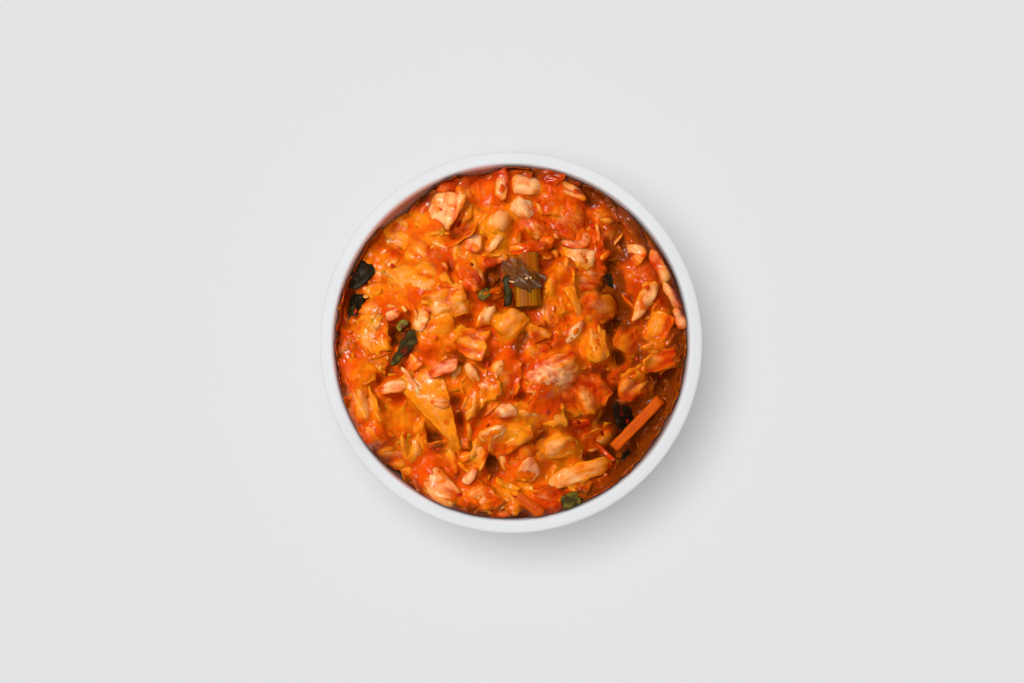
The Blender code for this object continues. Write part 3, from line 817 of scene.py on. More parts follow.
# Rounds of random pieces that fill the heap before and after the listed ones: batch, count, how far below
# the crown they stop, in millimetres, and their kinds, each as cut, longest, widest, and the ranges of
# soaked and tone.
LOW_FILL = [
    ("buried_leaves", 150, 3.4, [(replace(LEAF, step=1.1), 14, 11, (0.8, 1.1), (0.4, 0.9)),
                                 (replace(LOOSE_LEAF, step=1.1), 12, 9, (0.8, 1.1), (0.4, 0.9))]),
    ("buried_leaves", 130, 1.6, [(replace(LEAF, step=0.95), 12, 9, (0.7, 1.0), (0.2, 0.7)),
                                 (replace(LOOSE_LEAF, step=0.95), 11, 8, (0.7, 1.0), (0.2, 0.7)),
                                 (replace(CURLED_LEAF, step=0.95), 12, 8, (0.7, 1.0), (0.2, 0.6)),
                                 (THIN_RIB, 9, 5, (0.4, 0.8), (0.2, 0.6))]),
    ("cabbage_shreds", 30, 1.4, [(SHRED, 14, 2.8, (0.6, 1.0), (0.1, 0.6))]),
]
HIGH_FILL = [
    ("cabbage_leaves", 60, 1.2, [(LEAF, 10, 7.0, (0.6, 1.0), (0.1, 0.6))]),
    ("cabbage_shreds", 20, -0.8, [(SHRED, 9, 2.0, (0.6, 1.0), (0.0, 0.5))]),
    ("cabbage_shreds", 12, -0.6, [(STRING, 7, 1.3, (0.6, 1.0), (0.0, 0.4))]),
]
# Small loose pieces: batch, cut, count, and the ranges of length, width, soaked and tone.
CRUMBS = ("ginger_crumbs_and_glints", CRUMB, 26, (1.0, 2.6), (0.8, 1.9), (0.6, 1.0), (0.1, 0.7))
FLAKES = ("chilli_flakes", FLAKE, 40, (0.7, 1.8), (0.6, 1.2), (0.5, 1.0), (0.2, 1.0))
SEEDS = ("chilli_seeds", SEED_GRAIN, 6, (1.4, 1.8), (1.2, 1.5), (0.1, 0.5), (0.0, 0.3))

# How far from the middle random pieces are laid, in millimetres, and how a hungry spot is found.
FILL_REACH = 48.5
LOOSE_REACH = 48.0
HUNGER_REACH = 3.0 * MM
SPOTS_TRIED = 9
# Leaves along the wall, lying and pressed flat: how many, and between which radii or heights.
LINING = (60, 45.5, 49.0)
PAPERING = (54, 43.6, 45.4)
# How much of a pressed leaf's own relief is left.
PRESSED_RELIEF = 0.6


def spot_in_bowl(rng, reach):
    """A random place within this radius, in millimetres, evenly spread."""
    radius = reach * math.sqrt(rng.uniform())
    turn = rng.uniform(0, 2 * np.pi)
    return radius * math.cos(turn), radius * math.sin(turn)


def hungriest_spot(heap, rng):
    """Of a few random places, the one where the heap lies furthest below its crown."""
    spots = [spot_in_bowl(rng, FILL_REACH) for _ in range(SPOTS_TRIED)]
    return max(spots, key=lambda spot: heap.shortfall(spot[0] * MM, spot[1] * MM, HUNGER_REACH))


def fill(heap, batches, rng, rounds):
    """Lays rounds of random pieces where the heap needs them, up to so many millimetres below its crown."""
    for name, count, depth, kinds in rounds:
        for _ in range(count):
            cut, longest, widest, soaked, tone = kinds[rng.integers(len(kinds))]
            cut = replace(cut, above=-depth)
            size = (longest * rng.uniform(0.6, 1.0), widest * rng.uniform(0.6, 1.0))
            spot = hungriest_spot(heap, rng)
            lay(heap, batches[name], rng, cut, spot, size, rng.uniform(0, 360), rng.uniform(*soaked),
                rng.uniform(*tone))


def line_wall(heap, batch, rng):
    """Lays leaves against the wall all the way round, up to the crown, as its bank of food."""
    cut = replace(LEAF, step=0.8, above=0.0, scatter=0.6)
    count, nearest, furthest = LINING
    for turn in np.linspace(0, 360, count, endpoint=False) + rng.uniform(-3, 3, count):
        reach = rng.uniform(nearest, furthest)
        place = (reach * math.cos(math.radians(turn)), reach * math.sin(math.radians(turn)))
        size = (rng.uniform(8, 12), rng.uniform(6, 8))
        lay(heap, batch, rng, cut, place, size, turn + 90 + rng.uniform(-35, 35), rng.uniform(0.75, 1.0),
            rng.uniform(0.2, 0.8))


def plaster(heap, batch, rng, turn, height, size, sunk):
    """Presses one leaf flat against the wall, at this turn in degrees and height in millimetres."""
    flat, points, quads, edge, _, crest = shaped(rng, PRESSED_LEAF, *size)
    along, up, out = points.T * MM
    level = height * MM + up
    limit = inside_radius(level) - WALL_GAP
    radius = limit - PRESSED_RELIEF * (out - np.percentile(out, 1))
    angle = math.radians(turn) + along / FOOD_RADIUS
    world = np.stack([radius * np.cos(angle), radius * np.sin(angle), level], -1)
    batch.add(world, quads, {"grain": flat + rng.uniform(-200, 200, 3), "soaked": 1.0,
                             "tone": rng.uniform(0.4, 1.0), "edge": edge, "crest": crest, "sunk": sunk})
    heap.bury(world, quads)


def paper_wall(heap, batch, rng):
    """Leaves pressed against the wall all the way round, up to the lip, but not where the glaze is bare."""
    count, lowest, highest = PAPERING
    for turn in np.linspace(-180, 180, count, endpoint=False) + rng.uniform(-3, 3, count):
        if all(abs((turn - bare + 180) % 360 - 180) > reach for bare, reach in BARE_GLAZE):
            size = (rng.uniform(7, 13), rng.uniform(5.0, 9.0))
            height = rng.uniform(lowest, highest)
            # Painted shade for the pressed leaf, stronger on the right.
            sunk = rng.uniform(0.5, 0.8) + 0.2 * max(0.0, math.cos(math.radians(turn)))
            plaster(heap, batch, rng, turn, height, size, sunk)


def sprinkle(heap, batches, rng, name, cut, count, length, width, soaked, tone):
    """Lays small loose pieces anywhere on the heap."""
    for _ in range(count):
        size = (rng.uniform(*length), rng.uniform(*width))
        spot = spot_in_bowl(rng, LOOSE_REACH)
        lay(heap, batches[name], rng, cut, spot, size, rng.uniform(0, 360), rng.uniform(*soaked),
            rng.uniform(*tone))


def lay_listed(heap, batches, rng, pieces):
    """Lays listed pieces in their order, each into its own kind's batch."""
    for cut, place, size, heading, soaked, tone in pieces:
        lay(heap, batches[cut.kind], rng, cut, place, size, heading, soaked, tone)


def spread_out(piece):
    """The listed piece as it lies: a leaf spreads, and a rib keeps its size."""
    cut, place, (length, width), *looks = piece
    if cut.kind == "cabbage_leaves":
        length, width = LEAF_SPREAD[0] * length, LEAF_SPREAD[1] * width
    return (cut, place, (length, width), *looks)


def is_pale_rib(piece):
    """Whether a listed piece is a rib that little sauce has reached."""
    cut, *_, soaked, _ = piece
    return cut.kind == "cabbage_ribs" and soaked <= PALE


def heap_pieces(heap):
    """Every batch of pieces, laid from the lowest to the highest."""
    batches = {name: Batch(name) for name in BATCHES}
    rng = np.random.default_rng(SEED)
    fill(heap, batches, rng, LOW_FILL)
    paper_wall(heap, batches["buried_leaves"], rng)
    line_wall(heap, batches["buried_leaves"], rng)
    laid = [spread_out(piece) for piece in LAID]
    lay_listed(heap, batches, rng, [piece for piece in laid if not is_pale_rib(piece)])
    fill(heap, batches, rng, HIGH_FILL)
    lay_listed(heap, batches, rng, [piece for piece in laid if is_pale_rib(piece)] + UPPERMOST)
    sprinkle(heap, batches, rng, *CRUMBS)
    return batches


def scatter_on_top(heap, batches, rng):
    """What lies on the sauce: greens, a few pale ribs, chilli flakes and seeds."""
    lay_listed(heap, batches, rng, ON_TOP)
    sprinkle(heap, batches, rng, *FLAKES)
    sprinkle(heap, batches, rng, *SEEDS)


# ---------------------------------------------------------------- the core of sauce and pulp

CORE_STEPS = 240
CORE_ROUNDS = 12
CORE_DEPTH = 0.12 * MM
CORE_BLUR = 0.9 * MM
CORE_EDGE_HEIGHT = 44.0 * MM
PULP_HEIGHT = 0.15 * MM
PULP_LENGTH = 2.2 * MM
SAUCE_DRIFT = 0.45 * MM
DRIFT_LENGTH = 14.0 * MM


def core_top(heap, rng):
    """The core's top as a square grid of points drawn into a disc, with the grid of their places."""
    blur = blurred(CELLS, CORE_BLUR / CELL)
    places = np.arange(CELLS) * CELL
    drift = waves(rng, *np.meshgrid(places, places), DRIFT_LENGTH)
    level = blur @ heap.top @ blur.T - CORE_DEPTH + SAUCE_DRIFT * drift
    even = np.linspace(-1, 1, CORE_STEPS + 1)
    u, v = np.meshgrid(even, even, indexing="ij")
    reach = inside_radius(np.array(CORE_EDGE_HEIGHT)) - WALL_GAP
    x = u * np.sqrt(1 - v ** 2 / 2) * reach
    y = v * np.sqrt(1 - u ** 2 / 2) * reach
    z = heap.read(level, x, y) + PULP_HEIGHT * waves(rng, x, y, PULP_LENGTH, 9)
    return np.stack([x, y, z], -1).reshape(-1, 3), np.arange(u.size).reshape(u.shape)


def on_wall(turn, height):
    """Points just inside the wall, at these turns and heights."""
    radius = inside_radius(height) - WALL_GAP
    return np.stack([radius * np.cos(turn), radius * np.sin(turn), height], -1)


def make_core(heap, rng, material):
    """The sauce and pulp between the pieces, as one solid down to the bowl's floor."""
    top, index = core_top(heap, rng)
    above = np.concatenate([index[0, :-1], index[:-1, -1], index[-1, :0:-1], index[:0:-1, 0]])
    turn = np.arctan2(top[above, 1], top[above, 0])
    start = top[above, 2].copy()
    top[above] = on_wall(turn, start)
    floor = FLOOR_HEIGHT + WALL_GAP
    points, quads = [top], [grid_quads(index)]
    count = len(top)
    for step in range(1, CORE_ROUNDS + 1):
        share = step / CORE_ROUNDS
        points.append(on_wall(turn, start * (1 - share) + floor * share))
        below = count + np.arange(len(above))
        quads.append(band(above, below))
        count += len(above)
        above = below
    points.append(np.array([[0, 0, floor]]))
    quads.append(fan(above, count))
    points = np.concatenate(points)
    core = mesh_object("kimchi_core", points, np.concatenate(quads), material)
    write_mark(core, "sunk", heap.sunk(points))
    return core


# ---------------------------------------------------------------- toppings with a CAD place of their own

def set_down(points, node, heading, pitch):
    """Points in a piece's own frame, turned and moved to the middle of its CAD node's box."""
    low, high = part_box(node)
    x, y, z = points.T
    c, s = math.cos(pitch), math.sin(pitch)
    x, z = x * c - z * s, x * s + z * c
    c, s = math.cos(heading), math.sin(heading)
    return np.stack([x * c - y * s, x * s + y * c, z], -1) + np.array((low + high) / 2)


def tube_rings(rng, stations, ribs):
    """Rings of a flattened ribbed tube, one at each station: place along it, scale, and how ragged it is."""
    turn = np.linspace(0, 2 * np.pi, ONION_AROUND, endpoint=False)
    ridge = 1 + 0.014 * np.cos(ribs * turn) + 0.01 * np.cos((ribs // 2 + 2) * turn + 1.0)
    tear = sum(np.sin(rate * turn + rng.uniform(0, 2 * np.pi)) / rate ** 0.5 for rate in (2, 3, 5, 9, 14))
    rings = []
    for along, scale, ragged in stations:
        rings.append(np.stack([along + ragged * tear, np.cos(turn) * ridge * scale * ONION_WIDTH / 2,
                               np.sin(turn) * ridge * scale * ONION_THICKNESS / 2], -1))
    return np.concatenate(rings)


def make_spring_onion(heap, rng, material):
    """A cut length of spring onion: a ribbed stalk in a collar and a wider sheath, each a hollow tube."""
    reach = ONION_LENGTH / 2
    batch = Batch("spring_onion_stalk")
    for low, high, scale, ribs, ragged, aside in ONION_LAYERS:
        low, high = low * reach, high * reach
        outer = [(low, 0.93, 0.2), (low + 0.15 * MM, 0.98, 0.2)]
        for share in np.linspace(0.06, 0.94, 17):
            waist = 1.0 - 0.03 * math.sin(math.pi * share)
            outer.append((low + (high - low) * share, waist, 0.1 + 0.9 * share ** 6))
        outer += [(high - 0.15 * MM, 0.99, 1.0), (high, 0.95, 1.0)]
        inner = [(high - 0.05 * MM, ONION_WALL + 0.12, 1.0), (high - 0.4 * MM, ONION_WALL, 1.0)]
        inner += [(low + 0.4 * MM, ONION_WALL, 0.2), (low + 0.05 * MM, ONION_WALL + 0.12, 0.2)]
        stations = [(along, share * scale, ragged * rough * MM) for along, share, rough in outer + inner]
        points = tube_rings(rng, stations, ribs)
        points[:, 1] += aside * MM
        first_ring = np.arange(ONION_AROUND)
        last_ring = first_ring + (len(stations) - 1) * ONION_AROUND
        closed = np.concatenate([ring_quads(len(stations), ONION_AROUND), band(last_ring, first_ring)])
        placed = set_down(points, "spring_onion", ONION_HEADING, ONION_PITCH)
        marks = {"grain": points / MM, "soaked": 0.3, "tone": scale > SHEATH_WIDTH, "edge": 0, "crest": 0,
                 "sunk": 0}
        batch.add(placed, closed[:, ::-1], marks)
        heap.bury(placed, closed)
    return batch.build(material)


def make_carrot_stick(material, rng):
    """A cut carrot matchstick with slightly uneven knife faces."""
    cut = replace(CARROT, thickness=CARROT_SIDE / MM, step=0.45, plump=14.0, roundness=0.06, skew=0.05,
                  bite=0.12, curl=0.05)
    flat, points, quads, edge, _, crest = shaped(rng, cut, CARROT_LENGTH / MM, CARROT_SIDE / MM)
    batch = Batch("carrot_matchstick")
    placed = set_down(points * MM, "carrot_stick", CARROT_HEADING, CARROT_PITCH)
    batch.add(placed, quads, {"grain": flat, "soaked": 0.5, "tone": 0.3, "edge": edge, "crest": crest,
                              "sunk": 0})
    return batch.build(material)


# ---------------------------------------------------------------- shader building

class Field:
    """A shader socket that takes part in sums: each operation adds its Math node."""

    def __init__(self, finish, socket):
        self.finish = finish
        self.socket = socket

    def math(self, operation, *others):
        values = {0: self}
        values.update({place + 1: other for place, other in enumerate(others)})
        return self.finish.node("ShaderNodeMath", {"operation": operation}, values)

    def __add__(self, other):
        return self.math("ADD", other)

    def __sub__(self, other):
        return self.math("SUBTRACT", other)

    def __mul__(self, other):
        return self.math("MULTIPLY", other)

    def __truediv__(self, other):
        return self.math("DIVIDE", other)

    def __rsub__(self, other):
        return self.finish.node("ShaderNodeMath", {"operation": "SUBTRACT"}, {0: other, 1: self})

    __radd__ = __add__
    __rmul__ = __mul__

    def step(self, low, high):
        """0 below low, 1 above high, and smooth between them."""
        return self.finish.node("ShaderNodeMapRange", {"interpolation_type": "SMOOTHSTEP"},
                                {"Value": self, "From Min": low, "From Max": high})


class Finish:
    """A node tree being built: a material's, or the world's."""

    def __init__(self, tree):
        self.tree = tree
        tree.nodes.clear()

    def node(self, kind, settings, sockets, output=0):
        """Adds a node, sets it, fills or links its sockets, and returns one of its outputs."""
        node = self.tree.nodes.new(kind)
        for key, value in settings.items():
            if key == "stops":
                self.set_stops(node.color_ramp, value)
            else:
                setattr(node, key, value)
        for key, value in sockets.items():
            if isinstance(value, Field):
                self.tree.links.new(value.socket, node.inputs[key])
            else:
                node.inputs[key].default_value = value
        return Field(self, node.outputs[output]) if len(node.outputs) else None

    @staticmethod
    def set_stops(ramp, stops):
        while len(ramp.elements) < len(stops):
            ramp.elements.new(1.0)
        for element, (place, colour) in zip(ramp.elements, stops):
            element.position = place
            element.color = (*colour, 1.0)

    def ramp(self, factor, *stops):
        return self.node("ShaderNodeValToRGB", {"stops": stops}, {"Fac": factor})

    def mix(self, factor, first, second):
        """A blend of two colours."""
        colours = [c if isinstance(c, Field) else (*c, 1.0) for c in (first, second)]
        return self.node("ShaderNodeMix", {"data_type": "RGBA"}, {0: factor, 6: colours[0], 7: colours[1]}, 2)

    def scaled(self, vector, factors):
        return self.node("ShaderNodeVectorMath", {"operation": "MULTIPLY"}, {0: vector, 1: factors})

    def noise(self, vector, scale, detail=2.0, roughness=0.5, distortion=0.0):
        return self.node("ShaderNodeTexNoise", {}, {"Vector": vector, "Scale": scale, "Detail": detail,
                                                    "Roughness": roughness, "Distortion": distortion})

    def mark(self, name, output="Fac"):
        return self.node("ShaderNodeAttribute", {"attribute_name": name}, {}, output)

    def place(self):
        return self.node("ShaderNodeTexCoord", {}, {}, "Object")

    def bump(self, height, strength, distance):
        sockets = {"Height": height, "Strength": strength, "Distance": distance}
        return self.node("ShaderNodeBump", {}, sockets)


def surface(name, build, **constants):
    """A material with one Principled shader, whose varying sockets come from build."""
    material = bpy.data.materials.new(name)
    material.use_nodes = True
    finish = Finish(material.node_tree)
    sockets = dict(constants)
    sockets.update(build(finish))
    shader = finish.node("ShaderNodeBsdfPrincipled", {"subsurface_method": "RANDOM_WALK"}, sockets)
    finish.node("ShaderNodeOutputMaterial", {}, {"Surface": shader})
    return material


# ---------------------------------------------------------------- finishes

ORANGE = (0.517, 0.0562, 0.00076)
LIGHT_ORANGE = (0.562, 0.106, 0.00152)
RED_ORANGE = (0.38, 0.0167, 0.00076)
# Dark red: the colour that painted shade darkens towards, and the colour of small real flecks.
SHADE_AND_FLECK_RED = (0.125, 0.019, 0.0008)
CREAM = (0.70, 0.42, 0.19)
PINK_CREAM = (0.68, 0.28, 0.11)
YELLOW = (0.68, 0.24, 0.014)
OIL_ORANGE = (0.62, 0.175, 0.004)
OLIVE = (0.20, 0.13, 0.012)
DARK_GREEN = (0.045, 0.034, 0.008)
NEARLY_BLACK = (0.012, 0.008, 0.004)
STALK_STAIN = (0.29, 0.03, 0.0)
# Painted shade on the bowl's inner wall, tinted brown as by light reflected from the food.
PAINTED_WALL_SHADE = (0.40, 0.185, 0.12)
# Each pattern's colours, as places in the pattern with their colour.
SAUCE_STOPS = ((0.0, OIL_ORANGE), (0.25, LIGHT_ORANGE), (0.5, ORANGE), (1.0, RED_ORANGE))
SHEATH_STOPS = ((0.3, (0.145, 0.033, 0.0)), (0.5, (0.19, 0.048, 0.0)), (0.68, (0.27, 0.095, 0.001)))
STALK_STOPS = ((0.3, (0.16, 0.026, 0.0)), (0.5, (0.23, 0.05, 0.0)), (0.68, (0.24, 0.085, 0.002)))
FILM_SHADE_AND_HIGHLIGHT_STOPS = ((0.3, (0.045, 0.016, 0.006)), (0.6, (0.10, 0.042, 0.018)), (0.85, (0.26, 0.17, 0.12)))
CARROT_STOPS = ((0.35, (0.32, 0.032, 0.0006)), (0.6, (0.41, 0.063, 0.0012)))
FLAKE_STOPS = ((0.0, (0.502, 0.0304, 0.00304)), (0.6, (0.38, 0.00912, 0.00228)),
               (1.0, (0.152, 0.0038, 0.00152)))
SEED_STOPS = ((0.35, (0.654, 0.35, 0.0912)), (0.65, (0.608, 0.198, 0.0228)))
GLAZE_STOPS = ((0.3, (0.83, 0.845, 0.86)), (0.7, (0.87, 0.88, 0.885)))
CLAY_STOPS = ((0.35, (0.58, 0.52, 0.44)), (0.65, (0.72, 0.67, 0.59)))
FLOOR_STOPS = ((0.0, (0.797, 0.797, 0.797)), (1.0, (0.807, 0.807, 0.807)))

GLOSS = 0.45


def soaked_colour(finish, flesh, streak=0.0):
    """Flesh under uneven chilli sauce, which gathers in creases and at edges. Crests are lighter and creases
    redder, partly as painted light and shade, and painted shade darkens it where deep.
    """
    place = finish.place()
    marks = (finish.mark(name) for name in ("soaked", "tone", "edge", "crest", "sunk"))
    soaked, tone, edge, crest, sunk = marks
    blotch = finish.noise(place, 210.0, 2.0, 0.45)
    fine = finish.noise(place, 800.0, 2.0, 0.6)
    broad = finish.noise(place, 90.0, 1.0)
    # Redder in creases and lighter on crests: partly sauce pooling, partly painted light and shade.
    pooled_and_shaded = 0.35 - crest
    uneven = (blotch - 0.5) * 1.3 + (fine - 0.5) * 0.3
    cover = soaked * 1.3 + uneven + edge * 0.9 + pooled_and_shaded * 0.9 + sunk * 0.6 - 0.2
    cover = (cover + streak).step(-0.1, 1.25)
    redness = (tone + (blotch - 0.5) * 0.9 + (broad - 0.5) * 1.0 + pooled_and_shaded * 1.2 + sunk * 0.4).step(0.0, 1.0)
    sauce = finish.ramp(redness, *SAUCE_STOPS)
    tinted = finish.mix(0.18, flesh, sauce)
    colour = finish.mix(cover, tinted, sauce)
    speck = (fine - 0.62).step(0.0, 0.07) * (broad - 0.42).step(0.0, 0.2) * 0.45
    colour = finish.mix(speck, colour, SHADE_AND_FLECK_RED)
    # Painted shade: the colour darkens towards dark red where the painted-shade mark is high.
    return finish.mix(sunk.step(0.2, 0.8) * 0.93, colour, SHADE_AND_FLECK_RED), cover, fine, blotch


def wet_roughness(finish, cover, fine):
    """Smoother where sauce covers the flesh, and duller where painted shade lies."""
    return 0.13 - cover * 0.03 + fine * 0.04 + finish.mark("sunk") * 0.08


def leaf_build(finish):
    """Limp leaf: yellow flesh, branching veins, soaked in sauce."""
    grain = finish.mark("grain", "Vector")
    branch = finish.noise(finish.scaled(grain, (0.16, 0.42, 1.0)), 1.0, 2.0, 0.5, 0.6)
    veined = 1 - (branch * 2 - 1).math("ABSOLUTE").step(0.0, 0.22)
    flesh = finish.mix(veined, YELLOW, CREAM)
    colour, cover, fine, blotch = soaked_colour(finish, flesh)
    colour = finish.mix(veined * 0.2, colour, LIGHT_ORANGE)
    # Painted light: thin leaf edges glow yellow as if light shone through them, but not where painted shade
    # lies.
    painted_edge_glow = finish.mark("edge").step(0.8, 1.0) * (1 - finish.mark("sunk").step(0.0, 0.4))
    colour = finish.mix(painted_edge_glow * 0.4, colour, YELLOW)
    wrinkle = finish.noise(finish.scaled(grain, (0.3, 0.5, 0.5)), 1.0, 1.5, 0.5, 0.3)
    pimple = finish.noise(grain, 1.6, 1.0, 0.5)
    height = wrinkle + veined * 0.1 + blotch * 0.4 + pimple * 0.12
    return {"Base Color": colour, "Roughness": wet_roughness(finish, cover, fine),
            "Normal": finish.bump(height, 0.6, 1.0 * MM)}


def rib_build(finish):
    """Thick pale rib: fibres along its length, sauce in its hollows and at its edges."""
    grain = finish.mark("grain", "Vector")
    fibre = finish.noise(finish.scaled(grain, (0.2, 1.0, 1.0)), 1.0, 2.0, 0.5, 0.5)
    mottle = finish.noise(grain, 0.3, 2.0, 0.5, 0.5)
    patches = mottle * 0.65 + fibre * 0.35
    flesh = finish.ramp(patches, (0.40, CREAM), (0.53, PINK_CREAM), (0.64, LIGHT_ORANGE))
    colour, cover, fine, blotch = soaked_colour(finish, flesh, (fibre - 0.5) * 0.35)
    ridge = finish.noise(finish.scaled(grain, (0.15, 0.5, 0.5)), 1.0, 1.0, 0.5, 0.3)
    pimple = finish.noise(grain, 1.4, 1.0, 0.5)
    height = ridge + fibre * 0.15 + blotch * 0.3 + pimple * 0.1
    return {"Base Color": colour, "Roughness": wet_roughness(finish, cover, fine),
            "Normal": finish.bump(height, 0.65, 1.0 * MM)}


def green_build(finish):
    """Dark wet green, from olive to nearly black."""
    place = finish.place()
    tone = finish.mark("tone")
    blotch = finish.noise(place, 420.0, 3.0)
    grain = finish.mark("grain", "Vector")
    line = finish.noise(finish.scaled(grain, (0.3, 3.0, 1.0)), 1.0, 2.0)
    shade = (tone + (blotch - 0.5) * 1.2).step(0.0, 1.0)
    colour = finish.ramp(shade, (0.0, OLIVE), (0.5, DARK_GREEN), (1.0, NEARLY_BLACK))
    colour = finish.mix((blotch - 0.5).step(0.05, 0.3) * 0.3, colour, RED_ORANGE)
    return {"Base Color": colour, "Roughness": 0.1 + blotch * 0.1,
            "Normal": finish.bump(line + blotch, 0.7, 0.4 * MM)}


def stalk_build(finish):
    """Spring onion stalk: olive brown with paler and greener lines along it, reddened by the sauce."""
    grain = finish.mark("grain", "Vector")
    layer = finish.mark("tone")
    line = finish.noise(finish.scaled(grain, (0.0228, 1.14, 1.14)), 1.0, 2.0, 0.6)
    blotch = finish.noise(grain, 0.3, 2.0)
    outer = finish.ramp(line, *SHEATH_STOPS)
    inner = finish.ramp(line, *STALK_STOPS)
    colour = finish.mix(layer, inner, outer)
    colour = finish.mix((blotch - 0.5).step(0.0, 0.2) * 0.4, colour, STALK_STAIN)
    return {"Base Color": colour, "Roughness": 0.3 + blotch * 0.15,
            "Normal": finish.bump(line, 0.3, 0.3 * MM)}


def film_build(finish):
    """Thin wet skin off the spring onion: brown and clear, its dark brown partly painted shade over the
    stalk, its grey streaks partly painted highlights.
    """
    blotch = finish.noise(finish.place(), 300.0, 2.0)
    line = finish.noise(finish.scaled(finish.mark("grain", "Vector"), (0.12, 0.7, 0.6)), 1.0, 1.0)
    share = (blotch - 0.5) * 0.5 + (line - 0.5) * 1.5
    colour = finish.ramp(share + 0.5, *FILM_SHADE_AND_HIGHLIGHT_STOPS)
    return {"Base Color": colour, "Roughness": 0.12 + blotch * 0.1,
            "Alpha": (share + 0.6).step(0.0, 1.0) * 0.65, "Normal": finish.bump(blotch, 0.6, 0.4 * MM)}


def carrot_build(finish):
    """Cut carrot: strong orange with faint lines along it."""
    grain = finish.mark("grain", "Vector")
    line = finish.noise(finish.scaled(grain, (0.114, 1.22, 1.22)), 1.0, 3.0)
    blotch = finish.noise(finish.place(), 260.0, 2.0)
    sunk = finish.mark("sunk")
    colour = finish.ramp(line * 0.6 + blotch * 0.4, *CARROT_STOPS)
    # Painted shade: darker red where the painted-shade mark is high.
    colour = finish.mix(sunk.step(0.2, 1.0) * 0.6, colour, SHADE_AND_FLECK_RED)
    return {"Base Color": colour, "Roughness": 0.4 + blotch * 0.15,
            "Normal": finish.bump(line + blotch, 0.7, 0.4 * MM)}


def crumb_build(finish):
    """Minced garlic and ginger, stained by the sauce. Its pale bits on the onion's collar are painted
    highlights.
    """
    colour, _, fine, _ = soaked_colour(finish, CREAM)
    return {"Base Color": colour, "Roughness": 0.3 + fine * 0.15, "Normal": finish.bump(fine, 0.3, 0.2 * MM)}


def flake_build(finish):
    """Chilli flake: deep red skin with a paler inside."""
    tone = finish.mark("tone")
    blotch = finish.noise(finish.place(), 900.0, 2.0)
    shade = (tone + (blotch - 0.5) * 0.8).step(0.0, 1.0)
    colour = finish.ramp(shade, *FLAKE_STOPS)
    return {"Base Color": colour, "Roughness": 0.22 + blotch * 0.2,
            "Normal": finish.bump(blotch, 0.3, 0.15 * MM)}


def seed_build(finish):
    """Chilli seed: pale yellow, a little uneven."""
    blotch = finish.noise(finish.place(), 900.0, 2.0)
    colour = finish.ramp(blotch, *SEED_STOPS)
    return {"Base Color": colour, "Roughness": 0.3 + blotch * 0.15,
            "Normal": finish.bump(blotch, 0.2, 0.1 * MM)}


def pulp_build(finish):
    """Sauce with fine pulp between the pieces, darkened by painted shade where it lies deep, at the wall and
    on the right.
    """
    place = finish.place()
    blotch = finish.noise(place, 210.0, 3.0, 0.55)
    broad = finish.noise(place, 90.0, 1.0)
    fine = finish.noise(place, 900.0, 2.0)
    sunk = finish.mark("sunk")
    redness = (0.4 + (blotch - 0.5) * 0.9 + (broad - 0.5) * 1.0 + sunk * 0.4).step(0.0, 1.0)
    colour = finish.ramp(redness, *SAUCE_STOPS)
    colour = finish.mix(sunk.step(0.15, 0.75) * 0.94, colour, SHADE_AND_FLECK_RED)
    return {"Base Color": colour, "Roughness": 0.1 + fine * 0.05 + sunk * 0.08,
            "Normal": finish.bump(blotch + fine * 0.4, 0.6, 0.5 * MM)}


# Between these heights, in millimetres, the painted shade on the inside fades out.
PAINTED_WALL_SHADE_EDGE = (47.6, 49.2)


def glaze_build(finish):
    """White glaze: nearly even, and darkened inside below the lip by painted shade, tinted brown as by the
    food's reflected light.
    """
    place = finish.place()
    cloud = finish.noise(place, 28.0, 2.0)
    pits = finish.noise(place, 500.0, 2.0)
    colour = finish.ramp(cloud, *GLAZE_STOPS)
    height = finish.node("ShaderNodeSeparateXYZ", {}, {"Vector": place}, 2)
    inner_wall_shade = finish.mark("inside").step(0.5, 1.0) * (1 - (height / MM + cloud).step(*PAINTED_WALL_SHADE_EDGE))
    colour = finish.mix(inner_wall_shade * 0.9, colour, PAINTED_WALL_SHADE)
    return {"Base Color": colour, "Roughness": 0.34 + cloud * 0.1 + pits * 0.04,
            "Normal": finish.bump(cloud + pits * 0.15, 0.12, 0.3 * MM)}


def biscuit_build(finish):
    """Bare fired clay under the foot."""
    grit = finish.noise(finish.place(), 1400.0, 3.0)
    colour = finish.ramp(grit, *CLAY_STOPS)
    return {"Base Color": colour, "Roughness": 0.75 + grit * 0.2,
            "Normal": finish.bump(grit, 0.4, 0.15 * MM)}


def floor_build(finish):
    """Pale matt floor, almost even."""
    grain = finish.noise(finish.place(), 900.0, 2.0)
    colour = finish.ramp(grain, *FLOOR_STOPS)
    return {"Base Color": colour, "Roughness": 0.9 + grain * 0.05}


# Wet finishes: name, builder, how much light scatters inside, how deep in millimetres, and gloss.
WET_FINISHES = {"leaf": ("soaked_leaf", leaf_build, 0.65, 1.6, GLOSS),
                "rib": ("soaked_rib", rib_build, 0.75, 2.6, GLOSS),
                "green": ("dark_green", green_build, 0.1, 0.8, 0.08),
                "carrot": ("cut_carrot", carrot_build, 0.3, 1.5, 0.1),
                "crumb": ("minced_ginger_and_glints", crumb_build, 0.4, 1.2, GLOSS),
                "flake": ("chilli_skin", flake_build, 0.15, 0.6, GLOSS),
                "seed": ("chilli_seed", seed_build, 0.3, 0.8, GLOSS),
                "pulp": ("chilli_pulp", pulp_build, 0.6, 1.6, 0.25),
                "film": ("onion_skin", film_build, 0.2, 0.6, 0.12),
                "stalk": ("onion_stalk", stalk_build, 0.3, 1.2, 0.08)}

